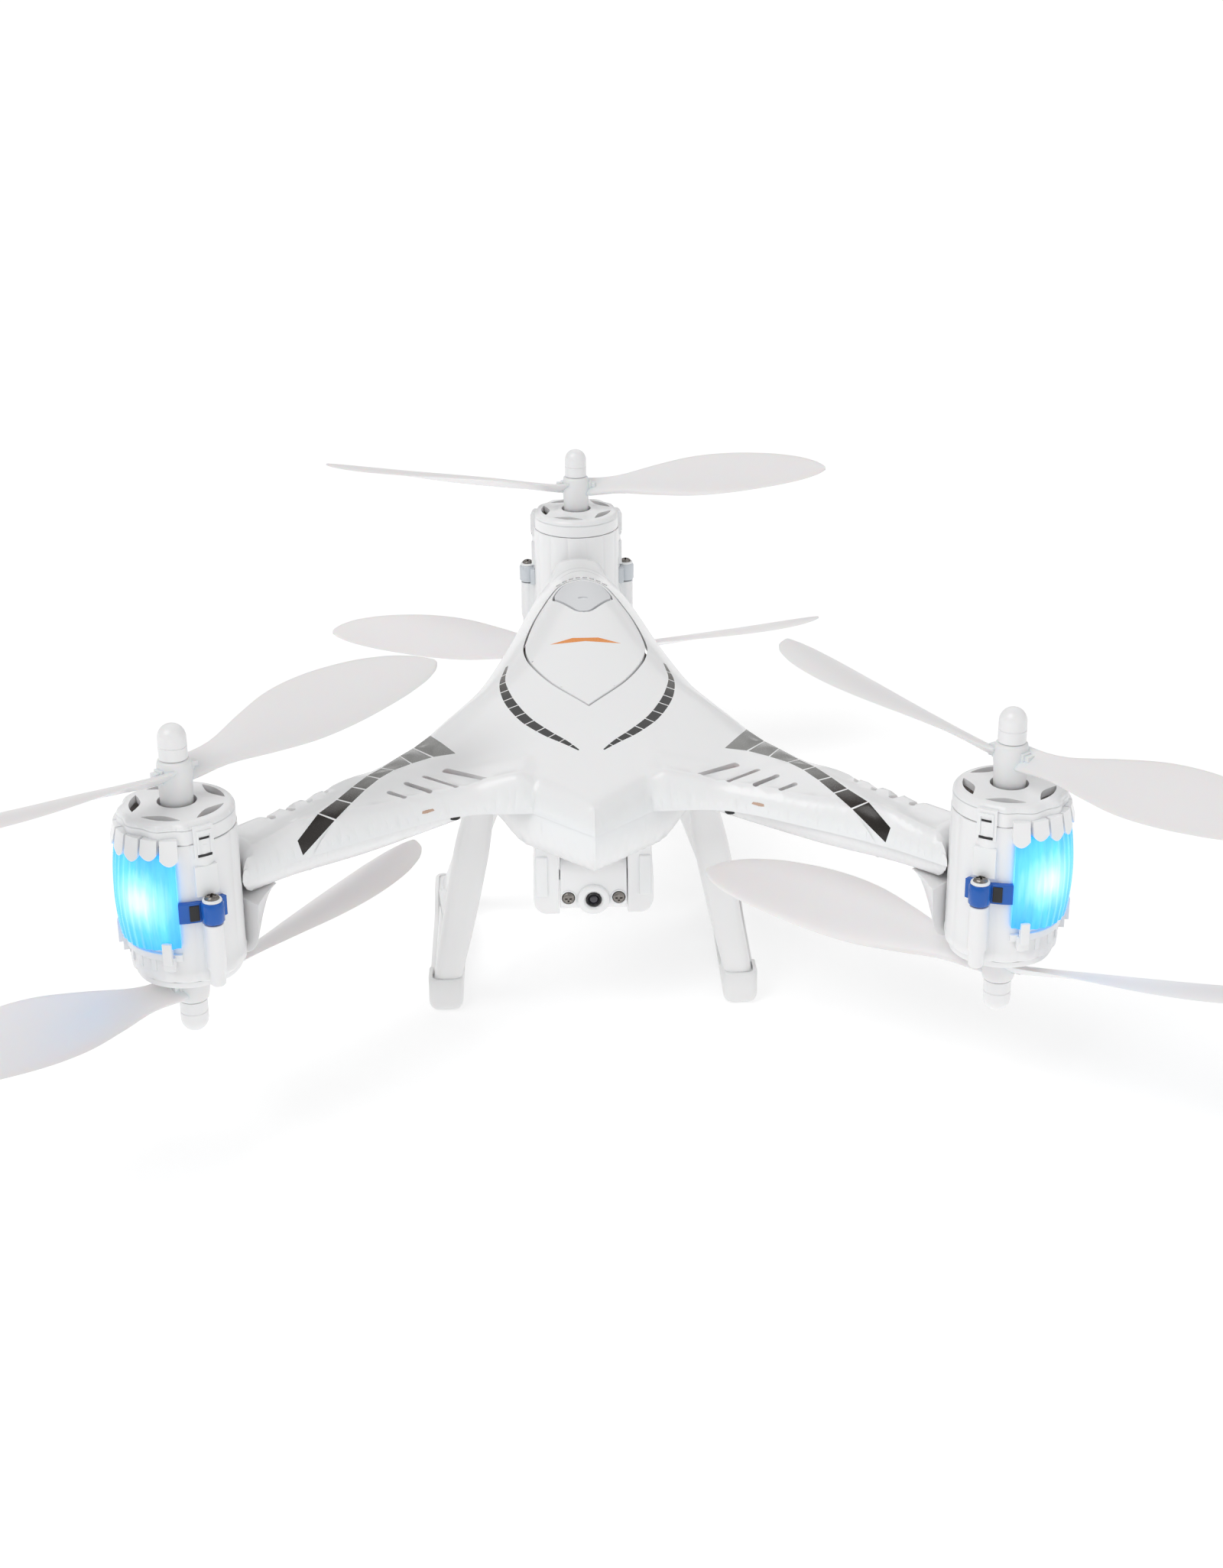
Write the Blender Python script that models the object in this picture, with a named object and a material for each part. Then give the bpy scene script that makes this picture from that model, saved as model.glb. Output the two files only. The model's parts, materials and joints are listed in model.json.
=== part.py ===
"""Six-rotor drone with three arms: a pod on each arm carries one propeller above and one below.

Everything is in metres with +Z up. The nose points to -Y and the third arm to +Y.
Heights are given above the ground that the skids stand on; the part's origin is on the
flat belly face, so place() takes the belly's height off.
"""
from math import asin, cos, pi, radians, sin, sqrt

import bmesh
import bpy
import numpy as np
from mathutils import Matrix, Vector
from mathutils.geometry import delaunay_2d_cdt

# ---- fits -------------------------------------------------------------------------------
GAP = 0.0003                 # between pieces that meet
MOVING_GAP = 0.0007          # around pieces that move
SHELL_WALL = 0.0016
RIM_WALL = 0.0024            # width of the shells' mating rims
FLOOR_WALL = 0.0024          # the lower shell is thicker, for its steep belly sides
NOSE_WALL = 0.0050           # extra thickness behind the pointed nose

# ---- body -------------------------------------------------------------------------------
BELLY_HEIGHT = 0.060
SEAM_HEIGHT = 0.074          # where the upper and lower shells meet
LIP_HEIGHT = 0.005           # rise of the rounded edge above the seam
EDGE_RADIUS = 0.005
NOSE_REACH = 0.078
SHOULDER_HALF_WIDTH = 0.017  # where the nose meets the skirts
LOWER_INSET = 0.0012         # the lower shell sits inside the upper one's edge
CHIN_HALF_WIDTH = 0.030
ARM_DEPTH = 0.0065           # below the seam, along the arms

# ---- arms -------------------------------------------------------------------------------
ARM_REACH = 0.150            # body centre to motor axis
FRONT_ARM_ANGLE = radians(46.9)
RIDGE_HEIGHT = 0.0026
RIDGE_HALF_WIDTH = 0.0070
SLOT_WIDTH = 0.0018

# ---- pods -------------------------------------------------------------------------------
POD_RADIUS = 0.0151
POD_WALL = 0.0016
POD_TOP = 0.0984
POD_BOTTOM = 0.0500
TOP_COVER_HEIGHT = 0.0062
BOTTOM_COVER_HEIGHT = 0.0020
COVER_PLATE = 0.0018
HUB_HOLE_GAP = 0.0007
LENS_HALF_ANGLE = radians(48)
LENS_THICKNESS = 0.0020
LENS_TOP = 0.0900
LENS_BOTTOM = 0.0620
LUG_ANGLE = radians(78)
LUG_RADIUS = 0.0026
STRAP_TOP = 0.0765
STRAP_HEIGHT = 0.0060
SCREW_RADIUS = 0.0010
SCREW_HEAD_RADIUS = 0.0019
SCREW_HEAD_HEIGHT = 0.0014

# ---- rotors -----------------------------------------------------------------------------
PROP_RADIUS = 0.0885
HUB_RADIUS = 0.0045
HUB_TOP = 0.1103             # upper propeller
HUB_LOWER_END = 0.0403       # lower propeller
BLADE_ROOT_UPPER = 0.1062
BLADE_ROOT_LOWER = 0.0445
BLADE_RISE_UPPER = 0.0080
BLADE_RISE_LOWER = 0.0105
BLADE_CHORD = 0.0250
BLADE_THICKNESS = 0.0016
CAP_RADIUS = 0.0038
CAP_HEIGHT = 0.0094
SHAFT_RADIUS = 0.0010
MOTOR_RADIUS = 0.0080
MOTOR_HEIGHT = 0.0165

# ---- hatch ------------------------------------------------------------------------------
HATCH_FRONT = -0.020
HATCH_HALF_WIDTH = 0.0187
HATCH_REAR = 0.0675
LATCH_HALF_WIDTH = 0.0090
LATCH_FRONT = 0.0370
LATCH_FLANGE = 0.0010
VENT_COUNT = 8
VENT_SIZE = 0.0013

# ---- camera -----------------------------------------------------------------------------
CAMERA_HALF_WIDTH = 0.0165
BLOCK_HALF_WIDTH = 0.0096
BLOCK_HALF_HEIGHT = 0.0086
CAMERA_Y = -0.0445
TILT_AXIS_HEIGHT = 0.0468
BRIDGE_THICKNESS = 0.0020
LENS_DROP = 0.0040           # camera lens below the tilt axis
LENS_BOSS_RADIUS = 0.0047
CAMERA_LENS_RADIUS = 0.0019
CAMERA_SCREW_SPACING = 0.0146
PIN_RADIUS = 0.0015

# ---- skids ------------------------------------------------------------------------------
FOOT_HALF_TRACK = 0.0443
SKID_TOP_HALF_TRACK = 0.0325
SKID_FRONT = -0.0390
SKID_REAR = 0.0340
STRUT_WIDTH = 0.0074
STRUT_DEPTH = 0.0110
PAD_HEIGHT = 0.0105
PAD_WALL = 0.0012
STRUT_SINK = 0.0011          # a strut's flat top stays this far below the curved underside

# ---- inside -----------------------------------------------------------------------------
BATTERY_WIDTH = 0.034
BATTERY_LENGTH = 0.062
BATTERY_HEIGHT = 0.016
BATTERY_FRONT = -0.006
BOARD_WIDTH = 0.036
BOARD_LENGTH = 0.034
BOARD_THICKNESS = 0.0016
LOOM_WIDTH = 0.0050
LOOM_THICKNESS = 0.0018
LOOM_STOP = 0.0260           # a branch ends this far from its motor's axis
SWITCH_LENGTH = 0.0044
SWITCH_WIDTH = 0.0030
SWITCH_TRAVEL = 0.0030

# Arm edges: distance in front of the motor axis, and offset from the arm's centre line.
ARM_FRONT_EDGE = ((0.080, -0.0193), (0.056, -0.0137), (0.032, -0.0103))
ARM_BACK_EDGE = ((0.032, 0.0112), (0.051, 0.0124), (0.064, 0.0148), (0.084, 0.0182))
ARM_END_HALF_WIDTH = 0.0100  # where an arm meets its pod
BODY_SIDE = ((0.0490, -0.0115), (0.0375, 0.0075), (0.0290, 0.0360), (0.0230, 0.0620), (0.0172, 0.0880))
REAR_ARM_EDGE = ((0.0120, 0.034),)
# Spine of the body: position along Y and height of the crown.
SPINE = ((-0.078, 0.0810), (-0.060, 0.0842), (-0.040, 0.0872), (-0.020, 0.0902), (0.000, 0.0945),
         (0.015, 0.0970), (0.030, 0.0988), (0.050, 0.1000), (0.067, 0.0998), (0.085, 0.0970),
         (0.105, 0.0915), (0.125, 0.0870), (0.140, 0.0855), (0.200, 0.0850))
# Half width of the crown at the same kind of stations.
CROWN = ((-0.078, 0.012), (-0.060, 0.032), (-0.030, 0.050), (-0.010, 0.0480), (0.010, 0.0390),
         (0.036, 0.0310), (0.062, 0.0250), (0.090, 0.0190), (0.115, 0.0155), (0.200, 0.0140))
BELLY = ((-0.080, 0.010), (-0.060, 0.027), (-0.040, 0.029), (0.000, 0.030), (0.040, 0.027),
         (0.062, 0.021), (0.080, 0.014))
BELLY_REAR = 0.0900          # where the belly has risen to the rear arm

GLOSS_WHITE = ("gloss_white", (0.86, 0.86, 0.86), 0.25, 0.0)
BLADE_WHITE = ("blade_white", (0.90, 0.90, 0.90), 0.35, 0.0)
LENS_BLUE = ("lens_blue", (0.02, 0.35, 0.95), 0.12, 0.0)
LENS_CLEAR = ("lens_clear", (0.80, 0.83, 0.86), 0.12, 0.0)
LATCH_GREY = ("latch_grey", (0.55, 0.56, 0.58), 0.35, 0.0)
STEEL = ("steel", (0.30, 0.29, 0.28), 0.30, 1.0)
BOARD_GREEN = ("board_green", (0.02, 0.18, 0.08), 0.50, 0.0)
BATTERY_WRAP = ("battery_wrap", (0.02, 0.30, 0.32), 0.45, 0.0)
WIRE_RED = ("wire_red", (0.55, 0.03, 0.03), 0.45, 0.0)
DARK = ("dark", (0.02, 0.02, 0.022), 0.40, 0.0)
GLASS_DARK = ("glass_dark", (0.01, 0.01, 0.02), 0.05, 0.0)


def clear_scene():
    for item in list(bpy.data.objects):
        bpy.data.objects.remove(item)


def material(spec):
    name, colour, roughness, metallic = spec
    found = bpy.data.materials.get(name)
    if found:
        return found
    made = bpy.data.materials.new(name)
    made.use_nodes = True
    shader = made.node_tree.nodes["Principled BSDF"]
    shader.inputs["Base Color"].default_value = (*colour, 1.0)
    shader.inputs["Roughness"].default_value = roughness
    shader.inputs["Metallic"].default_value = metallic
    return made


def place(x, y, height):
    return Vector((x, y, height - BELLY_HEIGHT))


# ---- mesh helpers -----------------------------------------------------------------------
def to_object(name, bm, spec, origin=None):
    """One object from world-space bmesh data, with its own origin."""
    bmesh.ops.recalc_face_normals(bm, faces=bm.faces)
    at = origin or Vector((0.0, 0.0, 0.0))
    bmesh.ops.translate(bm, verts=bm.verts, vec=-at)
    mesh = bpy.data.meshes.new(name)
    bm.to_mesh(mesh)
    bm.free()
    mesh.materials.append(material(spec))
    mesh.shade_smooth()
    mesh.set_sharp_from_angle(angle=radians(35))
    made = bpy.data.objects.new(name, mesh)
    made.location = at
    bpy.context.collection.objects.link(made)
    return made


def combine(target, tool_bm, operation):
    """Boolean with a tool given in world space; the tool is used up."""
    tool = to_object("tool", tool_bm, DARK)
    step = target.modifiers.new("step", "BOOLEAN")
    step.object = tool
    step.operation = operation
    step.solver = "EXACT"
    step.material_mode = "INDEX"
    bpy.context.view_layer.update()
    graph = bpy.context.evaluated_depsgraph_get()
    result = bpy.data.meshes.new_from_object(target.evaluated_get(graph))
    target.modifiers.clear()
    heal(result)
    old = target.data
    target.data = result
    result.set_sharp_from_angle(angle=radians(35))
    bpy.data.meshes.remove(old)
    used = tool.data
    bpy.data.objects.remove(tool)
    bpy.data.meshes.remove(used)


def heal(mesh):
    """Merge the stray points that a cut leaves a hair apart."""
    bm = bmesh.new()
    bm.from_mesh(mesh)
    bmesh.ops.remove_doubles(bm, verts=bm.verts, dist=5e-6)
    bmesh.ops.dissolve_degenerate(bm, edges=bm.edges, dist=5e-6)
    bm.to_mesh(mesh)
    bm.free()


def cut(target, tool_bm):
    combine(target, tool_bm, "DIFFERENCE")


def join(target, tool_bm):
    combine(target, tool_bm, "UNION")


def prism(outline, low, high):
    """Closed prism over a flat outline, between two heights."""
    bm = bmesh.new()
    base = [bm.verts.new(place(x, y, low)) for x, y in outline]
    face = bm.faces.new(base)
    grown = bmesh.ops.extrude_face_region(bm, geom=[face])
    moved = [v for v in grown["geom"] if isinstance(v, bmesh.types.BMVert)]
    bmesh.ops.translate(bm, verts=moved, vec=(0.0, 0.0, high - low))
    bmesh.ops.recalc_face_normals(bm, faces=bm.faces)
    return bm


def box(x0, x1, y0, y1, low, high, bevel=0.0):
    bm = prism(((x0, y0), (x1, y0), (x1, y1), (x0, y1)), low, high)
    if bevel:
        bmesh.ops.bevel(bm, geom=bm.edges[:], offset=bevel, segments=2, profile=0.5, affect="EDGES")
    return bm


def circle(cx, cy, radius, count, start=0.0):
    return [(cx + radius * cos(start + 2 * pi * i / count), cy + radius * sin(start + 2 * pi * i / count))
            for i in range(count)]


def turned(profile, centre, count=24):
    """Body of revolution about a vertical axis; the profile closes on itself or on the axis."""
    bm = bmesh.new()
    rings = []
    for radius, height in profile:
        if radius == 0.0:
            rings.append([bm.verts.new(place(centre[0], centre[1], height))])
        else:
            rings.append([bm.verts.new(place(x, y, height)) for x, y in circle(*centre, radius, count)])
    closed = profile[0][0] != 0.0
    pairs = list(zip(rings, rings[1:]))
    if closed:
        pairs.append((rings[-1], rings[0]))
    for ring_a, ring_b in pairs:
        for i in range(count):
            j = (i + 1) % count
            corners = [ring_a[i % len(ring_a)], ring_a[j % len(ring_a)],
                       ring_b[j % len(ring_b)], ring_b[i % len(ring_b)]]
            bm.faces.new(list(dict.fromkeys(corners)))
    return bm


def tapered_bar(foot, foot_size, top, top_size):
    """Slanted bar between two level rectangles, each given by its centre and its size."""
    bm = bmesh.new()
    rings = []
    for centre, size in ((foot, foot_size), (top, top_size)):
        half_x, half_y = size[0] / 2, size[1] / 2
        corners = ((-half_x, -half_y), (half_x, -half_y), (half_x, half_y), (-half_x, half_y))
        rings.append([bm.verts.new(place(centre[0] + x, centre[1] + y, centre[2])) for x, y in corners])
    bm.faces.new(rings[0])
    bm.faces.new(rings[1])
    for i in range(4):
        j = (i + 1) % 4
        bm.faces.new((rings[0][i], rings[0][j], rings[1][j], rings[1][i]))
    bmesh.ops.recalc_face_normals(bm, faces=bm.faces)
    upright = [e for e in bm.edges if abs(e.verts[0].co.z - e.verts[1].co.z) > 1e-4]
    bmesh.ops.bevel(bm, geom=upright, offset=0.0016, segments=2, profile=0.5, affect="EDGES")
    return bm


# ---- outlines ---------------------------------------------------------------------------
def smooth_path(points, steps=2):
    """Catmull-Rom curve through the points, ends included."""
    pts = [Vector(p) for p in points]
    ends = [pts[0] * 2 - pts[1]] + pts + [pts[-1] * 2 - pts[-2]]
    path = []
    for i in range(1, len(ends) - 2):
        p0, p1, p2, p3 = ends[i - 1:i + 3]
        for k in range(steps):
            t = k / steps
            path.append(0.5 * (2 * p1 + (p2 - p0) * t + (2 * p0 - 5 * p1 + 4 * p2 - p3) * t * t
                               + (3 * p1 - p0 - 3 * p2 + p3) * t ** 3))
    path.append(pts[-1])
    return [(p.x, p.y) for p in path]


def mirrored(half):
    """Full outline from its right half, which starts and ends on the centre line."""
    inner = half[1:-1]
    return list(half) + [(-x, y) for x, y in reversed(inner)]


def front_arm_point(before_pod, offset):
    """Point beside the right front arm's centre line."""
    along = ARM_REACH - before_pod
    x = along * sin(FRONT_ARM_ANGLE) + offset * cos(FRONT_ARM_ANGLE)
    y = -along * cos(FRONT_ARM_ANGLE) + offset * sin(FRONT_ARM_ANGLE)
    return x, y


def pod_arc(centre, inwards, half_width, wall, half=False, count=6):
    """Hollow arc that an arm's end leaves around its pod, anticlockwise along the outline."""
    radius = POD_RADIUS + GAP + wall
    spread = asin(half_width / radius)
    stop = 0.0 if half else -spread
    angles = [inwards + spread + (stop - spread) * i / count for i in range(count + 1)]
    return [(centre[0] + radius * cos(a), centre[1] + radius * sin(a)) for a in angles]


def shell_outline(nose, trim, wall):
    """Outline of a shell: nose points, then the right side with both arms, mirrored.

    A wall above zero gives the outline of the hollow inside.
    """
    if wall:
        nose = [(x, y + wall * sqrt(2) + NOSE_WALL) for x, y in nose]
    off = trim + wall
    front = [front_arm_point(b, t + off) for b, t in ARM_FRONT_EDGE]
    back = [front_arm_point(b, t - off) for b, t in ARM_BACK_EDGE]
    body = [(x - off, y) for x, y in BODY_SIDE]
    rear = [(x - off, ARM_REACH - before) for x, before in REAR_ARM_EDGE]
    end_width = ARM_END_HALF_WIDTH - off
    pod = front_arm_point(0.0, 0.0)
    arc = pod_arc(pod, FRONT_ARM_ANGLE + pi / 2, end_width, wall)
    rear_arc = pod_arc((0.0, ARM_REACH), -pi / 2, end_width, wall, True, 3)
    side = smooth_path([nose[-1]] + front[len(nose) - 2:] + arc[:1])
    side += arc[1:-1] + smooth_path(arc[-1:] + back + body + rear + rear_arc[:1])
    return mirrored(nose[:-1] + side + rear_arc[1:])


def upper_outline(wall=0.0):
    nose = [(0.0, -NOSE_REACH), (SHOULDER_HALF_WIDTH, SHOULDER_HALF_WIDTH - NOSE_REACH)]
    return shell_outline(nose, 0.0, wall)


def lower_outline(wall=0.0):
    """As the upper outline, but the nose runs back under the skirts as a wide V."""
    tip = LOWER_INSET - NOSE_REACH
    middle = CHIN_HALF_WIDTH / 2
    nose = [(0.0, tip), (middle, tip + middle), (CHIN_HALF_WIDTH, tip + CHIN_HALF_WIDTH)]
    return shell_outline(nose, LOWER_INSET, wall)


def inset(outline, distance):
    """Outline moved inwards; it runs anticlockwise."""
    count = len(outline)
    moved = []
    for i in range(count):
        before, here, after = (Vector(outline[k % count]) for k in (i - 1, i, i + 1))
        a = (here - before).normalized()
        b = (after - here).normalized()
        normal = (Vector((-a.y, a.x)) + Vector((-b.y, b.x))).normalized()
        reach = distance / max(0.5, normal.dot(Vector((-a.y, a.x))))
        moved.append(tuple(here + normal * reach))
    return moved


def hatch_outline(grow=0.0):
    half = smooth_path([(0.0, HATCH_FRONT), (HATCH_HALF_WIDTH * 0.60, HATCH_FRONT + 0.0105),
                        (HATCH_HALF_WIDTH * 0.93, HATCH_FRONT + 0.0230),
                        (HATCH_HALF_WIDTH, HATCH_FRONT + 0.0350),
                        (HATCH_HALF_WIDTH * 0.86, HATCH_FRONT + 0.0540),
                        (HATCH_HALF_WIDTH * 0.57, HATCH_REAR - 0.0075)], 3)
    half += smooth_path([(HATCH_HALF_WIDTH * 0.57, HATCH_REAR - 0.0075),
                         (HATCH_HALF_WIDTH * 0.33, HATCH_REAR - 0.0020), (0.0, HATCH_REAR)], 3)[1:]
    return inset(mirrored(half), -grow) if grow else mirrored(half)


def latch_outline(grow=0.0):
    rear = HATCH_REAR - 0.0045
    half = smooth_path([(0.0, LATCH_FRONT), (LATCH_HALF_WIDTH * 0.75, LATCH_FRONT + 0.0090),
                        (LATCH_HALF_WIDTH, rear - 0.0070)], 3)
    half += smooth_path([(LATCH_HALF_WIDTH, rear - 0.0070), (LATCH_HALF_WIDTH * 0.6, rear - 0.0022),
                         (0.0, rear)], 3)[1:]
    return inset(mirrored(half), -grow) if grow else mirrored(half)


# ---- surfaces ---------------------------------------------------------------------------
def edge_distance(points, outline):
    """Distance from each point to the outline."""
    start = np.array(outline)
    span = np.roll(start, -1, axis=0) - start
    length = (span ** 2).sum(1)
    reach = points[:, None, :] - start[None, :, :]
    along = np.clip((reach * span).sum(2) / length, 0.0, 1.0)
    off = reach - along[:, :, None] * span
    return np.sqrt((off ** 2).sum(2)).min(1)


def inside(points, outline):
    hit = np.zeros(len(points), dtype=bool)
    count = len(outline)
    for i in range(count):
        (x0, y0), (x1, y1) = outline[i], outline[(i + 1) % count]
        crosses = (y0 > points[:, 1]) != (y1 > points[:, 1])
        run = (points[:, 1] - y0) / (y1 - y0 if y1 != y0 else 1.0)
        hit ^= crosses & (points[:, 0] < x0 + run * (x1 - x0))
    return hit


def curve_value(table, position):
    keys = [k for k, _ in table]
    values = [v for _, v in table]
    return np.interp(position, keys, values)


def rounding(distance, radius):
    run = np.clip(distance / radius, 0.0, 1.0)
    return np.sqrt(1.0 - (1.0 - run) ** 2)


def ease(value):
    t = np.clip(value, 0.0, 1.0)
    return t * t * (3.0 - 2.0 * t)


def arm_ridge(points):
    """Raised rib that crosses each front arm from its back edge to its front edge."""
    x = np.abs(points[:, 0])
    along = x * sin(FRONT_ARM_ANGLE) - points[:, 1] * cos(FRONT_ARM_ANGLE)
    offset = x * cos(FRONT_ARM_ANGLE) + points[:, 1] * sin(FRONT_ARM_ANGLE)
    run = (along - 0.045) / (ARM_REACH - 0.030 - 0.045)
    centre = 0.0120 - 0.0190 * np.clip(run, 0.0, 1.0)
    bump = np.exp(-((offset - centre) / RIDGE_HALF_WIDTH) ** 2)
    return RIDGE_HEIGHT * bump * ease(run * 4.0) * ease((1.15 - run) * 4.0)


def upper_surface(points, outline):
    x, y = points[:, 0], points[:, 1]
    crown = curve_value(SPINE, y) - SEAM_HEIGHT - LIP_HEIGHT
    side = np.clip(1.0 - (x / curve_value(CROWN, y)) ** 2, 0.0, 1.0)
    rise = LIP_HEIGHT + crown * side ** 0.9 + arm_ridge(points)
    return SEAM_HEIGHT + rise * rounding(edge_distance(points, outline), EDGE_RADIUS)


def lower_surface(points, outline):
    x, y = points[:, 0], points[:, 1]
    side = np.clip(1.0 - (x / curve_value(BELLY, y)) ** 2, 0.0, 1.0)
    full = SEAM_HEIGHT - GAP - BELLY_HEIGHT
    depth = ARM_DEPTH + (full - ARM_DEPTH) * ease(side * 1.7) * ease((BELLY_REAR - y) / 0.030)
    return SEAM_HEIGHT - GAP - depth * rounding(edge_distance(points, outline), EDGE_RADIUS)


def fill_points(outline, spacing, rings):
    """Points inside an outline: a few rings along its edge and an even grid in the middle."""
    low = np.min(outline, axis=0)
    high = np.max(outline, axis=0)
    kept = []
    for ring in rings:
        row = np.array(inset(outline, ring))
        good = inside(row, outline) & (edge_distance(row, outline) > ring * 0.9)
        kept.append(row[good])
    rows = int((high[1] - low[1]) / (spacing * 0.87)) + 1
    columns = int((high[0] - low[0]) / spacing / 2) + 1
    grid = [((c + 0.5 * (r % 2)) * spacing, low[1] + r * spacing * 0.87)
            for r in range(rows) for c in range(-columns - 1, columns + 1)]
    grid = np.array(grid)
    good = inside(grid, outline) & (edge_distance(grid, outline) > max(rings) + spacing * 0.55)
    kept.append(grid[good])
    return np.concatenate(kept)


def slab(outline, top, bottom, spacing=0.011, rings=(0.0012, 0.0045)):
    """Closed solid over an outline between two height functions."""
    extra = fill_points(outline, spacing, rings)
    flat = [Vector(p) for p in outline] + [Vector(p) for p in extra.tolist()]
    count = len(outline)
    edges = [(i, (i + 1) % count) for i in range(count)]
    verts, _, faces = delaunay_2d_cdt(flat, edges, [], 1, 1e-7)[:3]
    points = np.array([tuple(v) for v in verts])
    highs = top(points)
    lows = bottom(points)
    bm = bmesh.new()
    roof = [bm.verts.new(place(*p, h)) for p, h in zip(points.tolist(), highs.tolist())]
    floor = [bm.verts.new(place(*p, h)) for p, h in zip(points.tolist(), lows.tolist())]
    seen = {}
    for face in faces:
        bm.faces.new([roof[i] for i in face])
        bm.faces.new([floor[i] for i in reversed(face)])
        for i, j in zip(face, face[1:] + face[:1]):
            seen[(i, j)] = seen.get((i, j), 0) + 1
    for i, j in seen:
        if (j, i) not in seen:
            bm.faces.new((roof[j], roof[i], floor[i], floor[j]))
    bmesh.ops.recalc_face_normals(bm, faces=bm.faces)
    return bm


def level(height):
    return lambda points: np.full(len(points), height)


# ---- pods -------------------------------------------------------------------------------
def pods():
    """Name, motor axis and outward direction of each pod."""
    reach_x = ARM_REACH * sin(FRONT_ARM_ANGLE)
    reach_y = -ARM_REACH * cos(FRONT_ARM_ANGLE)
    front = FRONT_ARM_ANGLE
    return (("right", (reach_x, reach_y), front - pi / 2),
            ("left", (-reach_x, reach_y), -pi / 2 - front),
            ("rear", (0.0, ARM_REACH), pi / 2))


def sector(centre, inner, outer, start, end, low, high, count):
    """Curved block between two radii, two angles and two heights."""
    angles = [start + (end - start) * i / count for i in range(count + 1)]
    arc = [(centre[0] + outer * cos(a), centre[1] + outer * sin(a)) for a in angles]
    arc += [(centre[0] + inner * cos(a), centre[1] + inner * sin(a)) for a in reversed(angles)]
    return prism(arc, low, high)


def lug_centre(centre, angle):
    reach = POD_RADIUS + GAP + LUG_RADIUS
    return centre[0] + reach * cos(angle), centre[1] + reach * sin(angle)


def make_housing(name, centre, outward):
    top = POD_TOP - TOP_COVER_HEIGHT - GAP
    bottom = POD_BOTTOM + BOTTOM_COVER_HEIGHT + GAP
    inner = POD_RADIUS - POD_WALL
    profile = ((POD_RADIUS, bottom), (POD_RADIUS, top), (inner, top), (inner, bottom))
    housing = to_object(f"pod_housing_{name}", turned(profile, centre, 36), GLOSS_WHITE)
    for side in (-1, 1):
        spot = lug_centre(centre, outward + side * LUG_ANGLE)
        post_top = STRAP_TOP - STRAP_HEIGHT - GAP
        angle = outward + side * LUG_ANGLE
        spread = LUG_RADIUS * 0.8 / POD_RADIUS
        join(housing, sector(centre, inner + 0.0006, POD_RADIUS + LUG_RADIUS, angle - spread, angle + spread,
                             bottom + GAP, post_top, 2))
        join(housing, prism(circle(*spot, LUG_RADIUS, 12, 0.1), bottom + 2 * GAP, post_top - GAP))
        cut(housing, prism(circle(*spot, SCREW_RADIUS + GAP, 10), bottom + 0.004, STRAP_TOP + GAP))
    inwards = outward + pi
    toward = Vector((cos(inwards), sin(inwards)))
    across = Vector((-toward.y, toward.x)) * 0.0035
    root = Vector(centre) + toward * (inner + 0.0006)
    tip = Vector(centre) + toward * (POD_RADIUS + 0.008)
    web_top = SEAM_HEIGHT - ARM_DEPTH - 2 * GAP
    web = prism([tuple(root + across), tuple(root - across), tuple(tip - across * 0.5),
                 tuple(tip + across * 0.5)], web_top - 0.0085, web_top)
    join(housing, web)


def make_top_cover(name, centre):
    base = POD_TOP - TOP_COVER_HEIGHT
    hole = HUB_RADIUS + HUB_HOLE_GAP
    inner = POD_RADIUS - POD_WALL
    under = POD_TOP - COVER_PLATE
    fillet = 0.0018
    profile = ((POD_RADIUS, base), (POD_RADIUS, POD_TOP - fillet),
               (POD_RADIUS - fillet, POD_TOP),
               (hole, POD_TOP), (hole, under), (inner, under), (inner, base))
    cover = to_object(f"pod_top_cover_{name}", turned(profile, centre, 26), GLOSS_WHITE)
    for i in range(5):
        start = 2 * pi * i / 5 + 0.28
        cut(cover, sector(centre, 0.0086, 0.0118, start, start + 0.78, under - 0.001, POD_TOP + 0.001, 3))


def make_bottom_cover(name, centre):
    hole = HUB_RADIUS + HUB_HOLE_GAP
    rim = POD_RADIUS - 0.0010
    high = POD_BOTTOM + BOTTOM_COVER_HEIGHT
    profile = ((rim - 0.0012, POD_BOTTOM), (rim, POD_BOTTOM + 0.0008), (rim, high), (hole, high),
               (hole, POD_BOTTOM))
    to_object(f"pod_bottom_cover_{name}", turned(profile, centre, 24), GLOSS_WHITE)


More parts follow.
